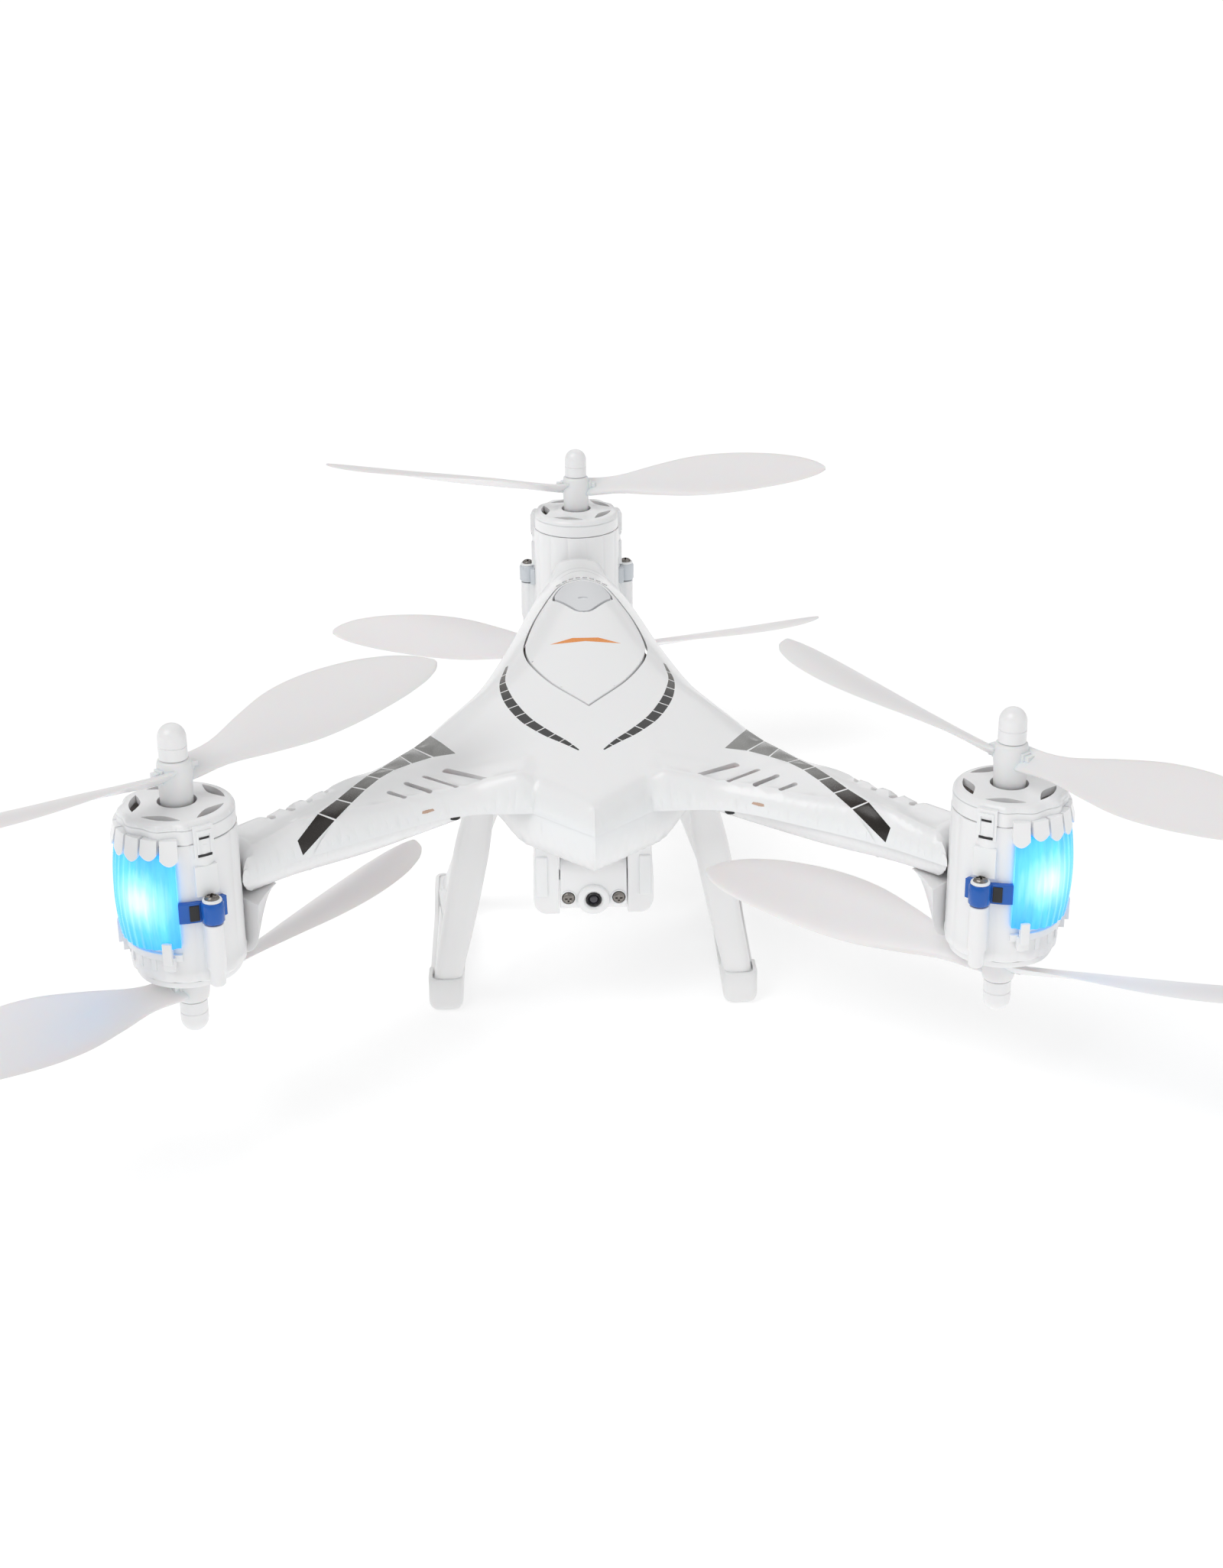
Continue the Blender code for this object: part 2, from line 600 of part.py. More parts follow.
def make_lens(name, centre, outward):
    spec = LENS_CLEAR if name == "rear" else LENS_BLUE
    inner = POD_RADIUS + GAP
    outer = inner + LENS_THICKNESS
    wide = LENS_HALF_ANGLE
    shape = sector(centre, inner, outer, outward - wide, outward + wide, LENS_BOTTOM, LENS_TOP, 12)
    lens = to_object(f"lamp_lens_{name}", shape, spec)
    low = STRAP_TOP - STRAP_HEIGHT
    for side in (-1, 1):
        angle = outward + side * LUG_ANGLE
        start, end = sorted((outward + side * (wide - 0.10), angle))
        join(lens, sector(centre, inner + GAP / 2, inner + 0.0014, start, end, low, STRAP_TOP, 4))
        spot = lug_centre(centre, angle)
        join(lens, prism(circle(*spot, LUG_RADIUS, 12, 0.1), low + GAP / 2, STRAP_TOP - GAP / 2))
    for side in (-1, 1):
        spot = lug_centre(centre, outward + side * LUG_ANGLE)
        cut(lens, prism(circle(*spot, SCREW_RADIUS + GAP, 10), low - 0.001, STRAP_TOP + 0.001))
        word = "a" if side > 0 else "b"
        base = STRAP_TOP + GAP
        profile = ((0.0, base - 0.016), (SCREW_RADIUS, base - 0.016), (SCREW_RADIUS, base),
                   (SCREW_HEAD_RADIUS, base), (SCREW_HEAD_RADIUS, base + SCREW_HEAD_HEIGHT * 0.6),
                   (SCREW_HEAD_RADIUS * 0.7, base + SCREW_HEAD_HEIGHT), (0.0, base + SCREW_HEAD_HEIGHT))
        to_object(f"lug_screw_{name}_{word}", turned(profile, spot, 10), STEEL)


def motor_bounds(upper):
    if upper:
        high = POD_TOP - TOP_COVER_HEIGHT - 2 * GAP
        return high - MOTOR_HEIGHT, high
    low = POD_BOTTOM + BOTTOM_COVER_HEIGHT + 2 * GAP
    return low, low + MOTOR_HEIGHT


def make_motor(name, centre, upper):
    low, high = motor_bounds(upper)
    word = "upper" if upper else "lower"
    step = 0.0010
    profile = ((0.0, low), (MOTOR_RADIUS - step, low), (MOTOR_RADIUS, low + step),
               (MOTOR_RADIUS, high - step), (MOTOR_RADIUS - step, high), (0.0, high))
    to_object(f"motor_{word}_{name}", turned(profile, centre, 16), STEEL)


# ---- rotors -----------------------------------------------------------------------------
def chord_share(share):
    """Blade chord along the radius, as a share of the widest chord."""
    keys = ((0.00, 0.34), (0.14, 0.36), (0.30, 0.66), (0.45, 0.92), (0.58, 1.00), (0.72, 0.95),
            (0.85, 0.78), (0.94, 0.52), (0.985, 0.26), (1.00, 0.10))
    return float(curve_value(keys, share))


def blade(root, rise, hand, turn):
    """One blade: thin twisted sections from inside the hub to the tip."""
    bm = bmesh.new()
    rings = []
    inner = HUB_RADIUS * 0.55
    for share in (0.0, 0.14, 0.28, 0.42, 0.57, 0.72, 0.85, 0.94, 1.0):
        radius = inner + (PROP_RADIUS - inner) * share
        chord = BLADE_CHORD * chord_share(share)
        pitch = radians(32 - 20 * share ** 0.7)
        thick = BLADE_THICKNESS * (1.6 - 1.1 * share)
        sweep = -0.10 * chord + 0.0040 * share ** 4
        height = root + rise * max(0.0, share - 0.05)
        ring = []
        for across, up in ((0.5, 0.0), (0.22, 0.5), (-0.2, 0.42), (-0.5, 0.05), (-0.2, -0.35), (0.22, -0.42)):
            run = across * chord * cos(pitch) - up * thick * sin(pitch) - sweep
            lift = across * chord * sin(pitch) + up * thick * cos(pitch)
            spot = Matrix.Rotation(turn, 3, "Z") @ Vector((radius, hand * run, height + lift))
            ring.append(bm.verts.new(spot))
        rings.append(ring)
    for ring_a, ring_b in zip(rings, rings[1:]):
        for i in range(6):
            j = (i + 1) % 6
            bm.faces.new((ring_a[i], ring_a[j], ring_b[j], ring_b[i]))
    bm.faces.new(rings[0])
    bm.faces.new(rings[-1])
    bmesh.ops.recalc_face_normals(bm, faces=bm.faces)
    return bm


def hub_bounds(upper):
    if upper:
        return POD_TOP - COVER_PLATE + GAP, HUB_TOP
    return HUB_LOWER_END, POD_BOTTOM + COVER_PLATE - GAP


def make_rotor(name, centre, upper, angle):
    """Propeller, cap and shaft, all with their origin on the motor axis."""
    word = "upper" if upper else "lower"
    low, high = hub_bounds(upper)
    root = BLADE_ROOT_UPPER if upper else BLADE_ROOT_LOWER
    rise = BLADE_RISE_UPPER if upper else BLADE_RISE_LOWER
    hand = 1 if upper else -1
    origin = place(*centre, root)
    propeller = to_object(f"propeller_{word}_{name}", prism(circle(*centre, HUB_RADIUS, 20), low, high),
                          BLADE_WHITE, origin)
    for turn in (angle, angle + pi):
        one = blade(root, rise, hand, turn)
        bmesh.ops.translate(one, verts=one.verts, vec=place(*centre, 0.0))
        join(propeller, one)
    cut(propeller, prism(circle(*centre, SHAFT_RADIUS + GAP, 10), low - 0.002, high + 0.002))
    away = 1 if upper else -1
    base = high + GAP if upper else low - GAP
    profile = [(0.0, base), (CAP_RADIUS, base)]
    for k in range(4):
        swing = pi / 2 * k / 4
        rise = CAP_HEIGHT - CAP_RADIUS * (1 - sin(swing))
        profile.append((CAP_RADIUS * cos(swing) ** 0.9, base + away * rise))
    profile.append((0.0, base + away * CAP_HEIGHT))
    to_object(f"prop_cap_{word}_{name}", turned(profile, centre, 14), GLOSS_WHITE, origin)
    motor_low, motor_high = motor_bounds(upper)
    ends = (motor_high + GAP, high - 0.0010) if upper else (low + 0.0010, motor_low - GAP)
    to_object(f"shaft_{word}_{name}", prism(circle(*centre, SHAFT_RADIUS, 10), *ends), STEEL, origin)


# ---- body pieces ------------------------------------------------------------------------
def front_arm_slots():
    """Stadium cutters through the skirts: four long ones in front, three short ones behind."""
    spots = [(0.092 - 0.0075 * i, -0.0115 + 0.0022 * i, 0.0170 - 0.0034 * i) for i in range(4)]
    spots += [(0.031 + 0.0068 * i, 0.0062 + 0.0006 * i, 0.0050) for i in range(3)]
    tools = []
    for before, offset, length in spots:
        for side in (-1, 1):
            x, y = front_arm_point(before, offset)
            across = Vector((cos(FRONT_ARM_ANGLE), sin(FRONT_ARM_ANGLE)))
            centre = Vector((x, y))
            outline = []
            for end in (1, -1):
                tip = centre + across * end * (length - SLOT_WIDTH) / 2
                for k in range(5):
                    swing = FRONT_ARM_ANGLE + (0 if end > 0 else pi) - pi / 2 + pi * k / 4
                    outline.append((tip.x + SLOT_WIDTH / 2 * cos(swing), tip.y + SLOT_WIDTH / 2 * sin(swing)))
            tools.append([(side * px, py) for px, py in outline])
    return tools


def vent_squares():
    """Row of small openings on an arc behind the hatch."""
    radius = 0.0150
    tools = []
    for i in range(VENT_COUNT):
        angle = pi / 2 + (i - (VENT_COUNT - 1) / 2) * 0.150
        spot = Vector((radius * cos(angle), HATCH_REAR + 0.0022 - radius + radius * sin(angle)))
        half = VENT_SIZE / 2
        tools.append([(spot.x - half, spot.y - half), (spot.x + half, spot.y - half),
                      (spot.x + half, spot.y + half), (spot.x - half, spot.y + half)])
    return tools


def make_upper_shell(outline):
    def top(points):
        return upper_surface(points, outline)

    shell = to_object("upper_shell", slab(outline, top, level(SEAM_HEIGHT)), GLOSS_WHITE)
    hollow = upper_outline(RIM_WALL)
    cut(shell, slab(hollow, lambda points: top(points) - SHELL_WALL, level(SEAM_HEIGHT - 0.001)))
    cut(shell, prism(hatch_outline(MOVING_GAP / 2), SEAM_HEIGHT - 0.001, 0.120))
    for tool in front_arm_slots() + vent_squares():
        cut(shell, prism(tool, SEAM_HEIGHT + 0.0004, 0.120))


def make_lower_shell(outline):
    def bottom(points):
        return lower_surface(points, outline)

    high = SEAM_HEIGHT - GAP
    shell = to_object("lower_shell", slab(outline, level(high), bottom), GLOSS_WHITE)
    hollow = lower_outline(RIM_WALL)
    cut(shell, slab(hollow, level(high + 0.001), lambda points: bottom(points) + FLOOR_WALL))
    x, y = switch_spot()
    half = SWITCH_LENGTH / 2 + MOVING_GAP / 2
    wide = SWITCH_WIDTH / 2 + MOVING_GAP / 2
    cut(shell, box(x - half, x + half + SWITCH_TRAVEL, y - wide, y + wide, BELLY_HEIGHT - 0.002,
                   BELLY_HEIGHT + FLOOR_WALL + 0.0010))


def switch_spot():
    return 0.0060, BATTERY_FRONT + BATTERY_LENGTH - 0.012


def make_switch():
    x, y = switch_spot()
    half = SWITCH_LENGTH / 2
    wide = SWITCH_WIDTH / 2
    floor = BELLY_HEIGHT + FLOOR_WALL + GAP
    switch = to_object("power_switch", box(x - half, x + half, y - wide, y + wide, BELLY_HEIGHT - 0.0012,
                                           floor + 0.0005), DARK, place(x, y, BELLY_HEIGHT))
    join(switch, box(x - half - 0.001, x + half + 0.001, y - wide - 0.0015, y + wide + 0.0015,
                     floor, floor + 0.0009))


def make_hatch(outline):
    def top(points):
        return upper_surface(points, outline)

    edge = hatch_outline(-MOVING_GAP / 2)
    hinge = place(0.0, HATCH_FRONT + 0.0015, 0.0)
    crown = top(np.array([[0.0, HATCH_FRONT + 0.0015]]))[0]
    hinge.z = float(crown) - BELLY_HEIGHT
    shape = slab(edge, top, lambda points: top(points) - SHELL_WALL, 0.011, (0.003,))
    hatch = to_object("hatch", shape, GLOSS_WHITE, hinge)
    cut(hatch, prism(latch_outline(MOVING_GAP / 2), 0.080, 0.120))
    plate_low = SHELL_WALL + 0.0018
    plate = slab(latch_outline(-MOVING_GAP / 2), top, lambda points: top(points) - plate_low, 0.008, (0.003,))
    latch = to_object("hatch_latch", plate, LATCH_GREY, hinge)
    join(latch, slab(latch_outline(LATCH_FLANGE), lambda points: top(points) - SHELL_WALL - 0.0010,
                     lambda points: top(points) - SHELL_WALL - 0.0022, 0.008, (0.003,)))


def make_inside():
    low = BELLY_HEIGHT + FLOOR_WALL + 2 * GAP + LOOM_THICKNESS + 0.0008
    half = BATTERY_WIDTH / 2
    to_object("battery", box(-half, half, BATTERY_FRONT, BATTERY_FRONT + BATTERY_LENGTH, low,
                             low + BATTERY_HEIGHT, 0.002), BATTERY_WRAP)
    half = BOARD_WIDTH / 2
    rear = BATTERY_FRONT - 0.003
    floor = low + 0.004
    board = to_object("flight_board", box(-half, half, rear - BOARD_LENGTH, rear, floor,
                                          floor + BOARD_THICKNESS), BOARD_GREEN)
    mid = rear - BOARD_LENGTH / 2
    join(board, box(-0.006, 0.006, mid - 0.006, mid + 0.006, floor + 0.0010, floor + BOARD_THICKNESS + 0.002))
    make_loom(low - 0.0008 - LOOM_THICKNESS, mid)


def make_loom(low, hub_y):
    """Flat wire loom: one branch to each pod, low under the board and battery, higher in the arms."""
    half = LOOM_WIDTH / 2
    arm_floor = SEAM_HEIGHT - ARM_DEPTH + FLOOR_WALL + 4 * GAP
    step = BELLY_REAR - 0.0060
    loom = to_object("wire_loom", box(-half, half, hub_y - half, step - 0.027, low, low + LOOM_THICKNESS),
                     WIRE_RED)
    join(loom, flat_wire(Vector((0.0, step - 0.030)), Vector((0.0, step)), low, arm_floor))
    join(loom, flat_wire(Vector((0.0, step)), Vector((0.0, ARM_REACH - LOOM_STOP)), arm_floor, arm_floor))
    for side in (-1, 1):
        inner = Vector((side * 0.010, hub_y - 0.002))
        outer = Vector((side * 0.029, hub_y - 0.008))
        tip = Vector(front_arm_point(LOOM_STOP, 0.0))
        tip.x *= side
        join(loom, flat_wire(Vector((0.0, hub_y)), inner, low, low))
        join(loom, flat_wire(inner, outer, low, arm_floor))
        join(loom, flat_wire(outer, tip, arm_floor, arm_floor))


def flat_wire(start, end, low_start, low_end):
    """Flat strip between two plan points, its ends at their own heights and slightly overlong."""
    run = (end - start).normalized()
    across = Vector((-run.y, run.x)) * LOOM_WIDTH * 0.47
    start = start - run * LOOM_WIDTH * 0.3
    bm = bmesh.new()
    rings = []
    for spot, base in ((start, low_start), (end, low_end)):
        low = base + LOOM_THICKNESS * 0.05
        high = base + LOOM_THICKNESS * 0.90
        corners = ((spot + across, low), (spot - across, low), (spot - across, high), (spot + across, high))
        rings.append([bm.verts.new(place(*flat, height)) for flat, height in corners])
    bm.faces.new(rings[0])
    bm.faces.new(rings[1])
    for i in range(4):
        j = (i + 1) % 4
        bm.faces.new((rings[0][i], rings[0][j], rings[1][j], rings[1][i]))
    bmesh.ops.recalc_face_normals(bm, faces=bm.faces)
    return bm


# ---- camera -----------------------------------------------------------------------------
def extrude_x(section, x0, x1):
    """Closed bar along X over a section given as (y, height) points."""
    bm = bmesh.new()
    ends = [[bm.verts.new(place(x, y, h)) for y, h in section] for x in (x0, x1)]
    bm.faces.new(ends[0])
    bm.faces.new(ends[1])
    count = len(section)
    for i in range(count):
        j = (i + 1) % count
        bm.faces.new((ends[0][i], ends[0][j], ends[1][j], ends[1][i]))
    bmesh.ops.recalc_face_normals(bm, faces=bm.faces)
    return bm


def extrude_y(section, y0, y1):
    """Closed bar along Y over a section given as (x, height) points."""
    bm = bmesh.new()
    ends = [[bm.verts.new(place(x, y, h)) for x, h in section] for y in (y0, y1)]
    bm.faces.new(ends[0])
    bm.faces.new(ends[1])
    count = len(section)
    for i in range(count):
        j = (i + 1) % count
        bm.faces.new((ends[0][i], ends[0][j], ends[1][j], ends[1][i]))
    bmesh.ops.recalc_face_normals(bm, faces=bm.faces)
    return bm


def rounded_square(half, count=16):
    """Section of the tilting block: a square with softened corners."""
    section = []
    for i in range(count):
        angle = 2 * pi * (i + 0.5) / count
        c, s = cos(angle), sin(angle)
        radius = half / (abs(c) ** 3 + abs(s) ** 3) ** (1 / 3)
        section.append((CAMERA_Y + radius * c, TILT_AXIS_HEIGHT + radius * s))
    return section


def make_camera():
    top = BELLY_HEIGHT - GAP
    low = TILT_AXIS_HEIGHT - BLOCK_HALF_HEIGHT
    half = CAMERA_HALF_WIDTH
    chamfer = 0.0045
    section = ((-half, low + chamfer), (-half + chamfer * 0.8, low), (half - chamfer * 0.8, low),
               (half, low + chamfer), (half, top), (-half, top))
    front = CAMERA_Y - BLOCK_HALF_HEIGHT
    back = CAMERA_Y + BLOCK_HALF_HEIGHT
    bracket = to_object("camera_bracket", extrude_y(section, front, back), GLOSS_WHITE)
    gap_half = BLOCK_HALF_WIDTH + GAP
    cut(bracket, box(-gap_half, gap_half, front - 0.002, back + 0.002, low - 0.002, top - BRIDGE_THICKNESS))
    pin_hole = [(CAMERA_Y + (PIN_RADIUS + GAP) * cos(a), TILT_AXIS_HEIGHT + (PIN_RADIUS + GAP) * sin(a))
                for a in (2 * pi * i / 12 for i in range(12))]
    cut(bracket, extrude_x(pin_hole, -BLOCK_HALF_WIDTH - 0.0030, BLOCK_HALF_WIDTH + 0.0030))

    axis = place(0.0, CAMERA_Y, TILT_AXIS_HEIGHT)
    block = to_object("camera_block", extrude_x(rounded_square(BLOCK_HALF_HEIGHT), -BLOCK_HALF_WIDTH,
                                                BLOCK_HALF_WIDTH), GLOSS_WHITE, axis)
    pin = [(CAMERA_Y + PIN_RADIUS * cos(a), TILT_AXIS_HEIGHT + PIN_RADIUS * sin(a))
           for a in (2 * pi * i / 16 for i in range(16))]
    join(block, extrude_x(pin, -BLOCK_HALF_WIDTH - 0.0025, BLOCK_HALF_WIDTH + 0.0025))
    lens_height = TILT_AXIS_HEIGHT - LENS_DROP
    boss = [(LENS_BOSS_RADIUS * cos(a), lens_height + LENS_BOSS_RADIUS * sin(a))
            for a in (2 * pi * i / 16 for i in range(16))]
    join(block, extrude_y(boss, front - 0.0008, front + 0.004))
    well = [(x / LENS_BOSS_RADIUS * (CAMERA_LENS_RADIUS + GAP),
             lens_height + (h - lens_height) / LENS_BOSS_RADIUS * (CAMERA_LENS_RADIUS + GAP)) for x, h in boss]
    cut(block, extrude_y(well, front - 0.002, front + 0.0032))
    glass = [(x / LENS_BOSS_RADIUS * CAMERA_LENS_RADIUS,
              lens_height + (h - lens_height) / LENS_BOSS_RADIUS * CAMERA_LENS_RADIUS) for x, h in boss]
    to_object("camera_lens", extrude_y(glass, front - 0.0004, front + 0.0029), GLASS_DARK, axis)
    for side, word in ((-1, "left"), (1, "right")):
        x = side * CAMERA_SCREW_SPACING / 2
        height = lens_height + 0.0006
        seat = [(x + (0.0017 + GAP) * cos(a), height + (0.0017 + GAP) * sin(a))
                for a in (2 * pi * i / 10 for i in range(10))]
        head = [(x + 0.0017 * cos(a), height + 0.0017 * sin(a)) for a in (2 * pi * i / 10 for i in range(10))]
        cut(block, extrude_y(seat, front - 0.002, front + 0.0030))
        to_object(f"camera_screw_{word}", extrude_y(head, front + 0.0002, front + 0.0027), STEEL, axis)


# ---- skids ------------------------------------------------------------------------------
def underside(x, y, outline):
    """Lowest point of the lower shell over a strut's footprint."""
    spots = [(x + i * STRUT_WIDTH / 2, y + j * STRUT_DEPTH / 2) for i in (-1, 0, 1) for j in (-1, 0, 1)]
    return float(lower_surface(np.array(spots), outline).min())


def make_skid(side, word, outline):
    rail_low = PAD_WALL + GAP
    rail_high = rail_low + 0.0078
    foot_x = side * FOOT_HALF_TRACK
    half = STRUT_WIDTH / 2
    skid = to_object(f"skid_{word}", box(foot_x - half, foot_x + half, SKID_FRONT, SKID_REAR,
                                         rail_low, rail_high), GLOSS_WHITE)
    top_x = side * SKID_TOP_HALF_TRACK
    lean = STRUT_DEPTH / 2
    struts = ((SKID_FRONT + lean, top_x, SKID_FRONT + lean - 0.001),
              (SKID_REAR - lean, side * (BODY_SIDE[2][0] - 0.006), SKID_REAR - lean - 0.012))
    for y_foot, x, y_top in struts:
        foot = (foot_x, y_foot, rail_high - 0.0030)
        size = (STRUT_WIDTH - 0.0002, STRUT_DEPTH - 0.0002)
        top_height = underside(x, y_top, outline) - GAP - STRUT_SINK
        join(skid, tapered_bar(foot, size, (x, y_top, top_height), size))

    pad_half = half + GAP + PAD_WALL
    pad = to_object(f"foot_pad_{word}", box(foot_x - pad_half, foot_x + pad_half, SKID_FRONT - GAP - PAD_WALL,
                                            SKID_REAR + GAP + PAD_WALL, 0.0, PAD_HEIGHT, 0.0014), GLOSS_WHITE)
    lean_in = 0.0022
    inner = half + GAP
    cut(pad, box(foot_x - inner - (lean_in if side > 0 else 0), foot_x + inner + (lean_in if side < 0 else 0),
                 SKID_FRONT - GAP, SKID_REAR + GAP, PAD_WALL, PAD_HEIGHT + 0.002))


def main():
    clear_scene()
    outline = upper_outline()
    make_upper_shell(outline)
    under = lower_outline()
    make_lower_shell(under)
    make_hatch(outline)
    make_inside()
    make_switch()
    make_camera()
    for side, word in ((-1, "left"), (1, "right")):
        make_skid(side, word, under)
    upper_angles = {"rear": radians(178.3), "left": radians(44.4), "right": radians(129.0)}
    lower_angles = {"rear": radians(179.6), "left": radians(47.0), "right": radians(148.4)}
    for name, centre, outward in pods():
        make_housing(name, centre, outward)
        make_top_cover(name, centre)
        make_bottom_cover(name, centre)
        make_lens(name, centre, outward)
        make_motor(name, centre, True)
        make_motor(name, centre, False)
        make_rotor(name, centre, True, upper_angles[name])
        make_rotor(name, centre, False, lower_angles[name])


main()
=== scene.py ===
"""Looks of the white three-arm drone: fine shells, pods, blades, lamps and materials on the fixed CAD frame.

Lengths are metres in the CAD part's frame: +Z up, nose to -Y, origin on the belly face.
Heights in this file are given above the ground, and place() turns them into the frame's Z.
"""

import json
from math import asin, atan2, cos, pi, radians, sin

import bmesh
import bpy
import numpy as np
from mathutils import Matrix, Vector
from mathutils.geometry import delaunay_2d_cdt


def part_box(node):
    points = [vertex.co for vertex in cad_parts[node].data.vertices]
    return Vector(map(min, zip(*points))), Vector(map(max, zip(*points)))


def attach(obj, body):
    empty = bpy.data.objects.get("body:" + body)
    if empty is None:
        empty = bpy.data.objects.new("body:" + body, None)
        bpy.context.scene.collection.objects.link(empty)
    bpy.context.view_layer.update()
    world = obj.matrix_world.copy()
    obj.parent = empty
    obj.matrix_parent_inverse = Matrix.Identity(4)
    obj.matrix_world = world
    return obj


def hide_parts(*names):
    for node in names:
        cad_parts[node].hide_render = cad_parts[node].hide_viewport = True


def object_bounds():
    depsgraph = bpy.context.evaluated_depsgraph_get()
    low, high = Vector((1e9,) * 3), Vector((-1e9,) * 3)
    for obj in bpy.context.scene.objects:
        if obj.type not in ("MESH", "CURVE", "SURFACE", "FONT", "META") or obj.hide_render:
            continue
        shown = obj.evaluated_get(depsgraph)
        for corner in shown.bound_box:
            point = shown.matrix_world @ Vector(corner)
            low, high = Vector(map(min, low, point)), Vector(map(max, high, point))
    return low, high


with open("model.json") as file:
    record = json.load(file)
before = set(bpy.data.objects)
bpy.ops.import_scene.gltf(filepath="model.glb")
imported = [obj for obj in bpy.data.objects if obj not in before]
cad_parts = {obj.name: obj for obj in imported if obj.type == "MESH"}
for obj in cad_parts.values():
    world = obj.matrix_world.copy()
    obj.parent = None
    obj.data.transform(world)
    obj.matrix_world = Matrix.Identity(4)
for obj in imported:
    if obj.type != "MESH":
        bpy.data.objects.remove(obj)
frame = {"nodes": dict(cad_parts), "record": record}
CAD_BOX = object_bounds()

GROUND = CAD_BOX[0].z
BODY_OF = {n: b for b, nodes in frame["record"]["behaviour"]["bodies"].items() for n in nodes}


def place(x, y, height):
    return (x, y, height + GROUND)


def node_span(node):
    """Lowest and highest height of a CAD node above the ground."""
    low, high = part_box(node)
    return low.z - GROUND, high.z - GROUND


def node_centre(node):
    low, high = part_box(node)
    return (low.x + high.x) / 2, (low.y + high.y) / 2


# ---- sizes shared with the CAD shells ---------------------------------------------------
GAP = 0.0003                 # between fixed pieces
MOVING_GAP = 0.0007          # round the hatch, the latch and the switch
WALL = 0.0016                # top shell, hatch and pod walls
FLOOR_WALL = 0.0024
SEAM = 0.074                 # where the upper and the lower shell meet
LIP_HEIGHT = 0.005
EDGE_RADIUS = 0.005
BELLY = 0.060
NOSE_REACH = 0.078
SHOULDER = 0.017             # half width of the nose where the skirts begin
LOWER_INSET = 0.0012
CHIN = 0.030
ARM_DEPTH = 0.0065           # of the lower shell along the arms
ARM_REACH = node_centre("shaft_upper_rear")[1]
ARM_X, ARM_Y = node_centre("shaft_upper_right")
ARM_ANGLE = atan2(ARM_X, -ARM_Y)
POD_RADIUS = 0.0151
POD_TOP = node_span("pod_top_cover_rear")[1]
POD_BOTTOM = node_span("pod_bottom_cover_rear")[0]
LENS_HALF_ANGLE = radians(48)
LUG_ANGLE = radians(78)
LUG_RADIUS = 0.0026
STRAP_LOW = 0.0705           # strap that ties each lens to its lugs
STRAP_TOP = 0.0765
SCREW_RADIUS = 0.0019
MOTOR_RADIUS = 0.0080
HUB_RADIUS = 0.0045
HUB_GAP = 0.0007             # between a hub and the cover round it

ARM_FRONT_EDGE = ((0.080, -0.0193), (0.056, -0.0137), (0.032, -0.0103))
ARM_BACK_EDGE = ((0.032, 0.0112), (0.051, 0.0124), (0.064, 0.0148), (0.084, 0.0182))
ARM_END_HALF_WIDTH = 0.0100
BODY_SIDE = ((0.0490, -0.0115), (0.0375, 0.0075), (0.0290, 0.0360), (0.0230, 0.0620), (0.0172, 0.0880))
SPINE = ((-0.078, 0.0810), (-0.060, 0.0842), (-0.040, 0.0872), (-0.020, 0.0902), (0.000, 0.0945),
         (0.015, 0.0970), (0.030, 0.0988), (0.050, 0.1000), (0.067, 0.0998), (0.085, 0.0970),
         (0.105, 0.0915), (0.125, 0.0870), (0.140, 0.0855), (0.200, 0.0850))
CROWN = ((-0.078, 0.012), (-0.060, 0.032), (-0.030, 0.050), (-0.010, 0.0480), (0.010, 0.0390),
         (0.036, 0.0310), (0.062, 0.0250), (0.090, 0.0190), (0.115, 0.0155), (0.200, 0.0140))
UNDERSIDE = ((-0.080, 0.010), (-0.060, 0.027), (-0.040, 0.029), (0.000, 0.030), (0.040, 0.027),
             (0.062, 0.021), (0.080, 0.014))
# Lines across the printed arm band: distance along the arm and offset, at its rear and at its front edge.
ARM_BAND = (((0.0450, 0.0205), (0.0524, 0.0010)), ((0.0535, 0.0186), (0.0575, 0.0057)),
            ((0.0610, 0.0159), (0.0651, 0.0063)), ((0.0718, 0.0113), (0.0733, 0.0044)),
            ((0.0812, 0.0062), (0.0809, 0.0018)), ((0.0898, 0.0022), (0.0885, -0.0011)),
            ((0.0985, -0.0018), (0.0967, -0.0048)), ((0.1093, -0.0072), (0.1061, -0.0093)),
            ((0.1190, -0.0096), (0.1186, -0.0100)))
BAND_WAIST = (0.0505, 0.0099)
# Printed body arc: centre line from the rear to the nose, with its width.
BODY_ARC = ((0.0242, 0.0155, 0.0008), (0.0256, 0.0030, 0.0017), (0.0245, -0.0080, 0.0026),
            (0.0220, -0.0170, 0.0030), (0.0180, -0.0262, 0.0030), (0.0125, -0.0345, 0.0027),
            (0.0075, -0.0402, 0.0018), (0.0035, -0.0452, 0.0005))


# ---- materials --------------------------------------------------------------------------
def start_look(name):
    look = bpy.data.materials.new(name)
    look.use_nodes = True
    nodes = look.node_tree.nodes
    return look, nodes, look.node_tree.links, nodes["Principled BSDF"]


def noise(nodes, links, scale, detail=3.0, stretch=(1.0, 1.0, 1.0)):
    """Noise over the row frame, so that it stays on the surface."""
    where = nodes.new("ShaderNodeTexCoord")
    mapping = nodes.new("ShaderNodeMapping")
    mapping.inputs["Scale"].default_value = stretch
    made = nodes.new("ShaderNodeTexNoise")
    made.inputs["Scale"].default_value = scale
    made.inputs["Detail"].default_value = detail
    links.new(where.outputs["Object"], mapping.inputs["Vector"])
    links.new(mapping.outputs["Vector"], made.inputs["Vector"])
    return made.outputs["Fac"]


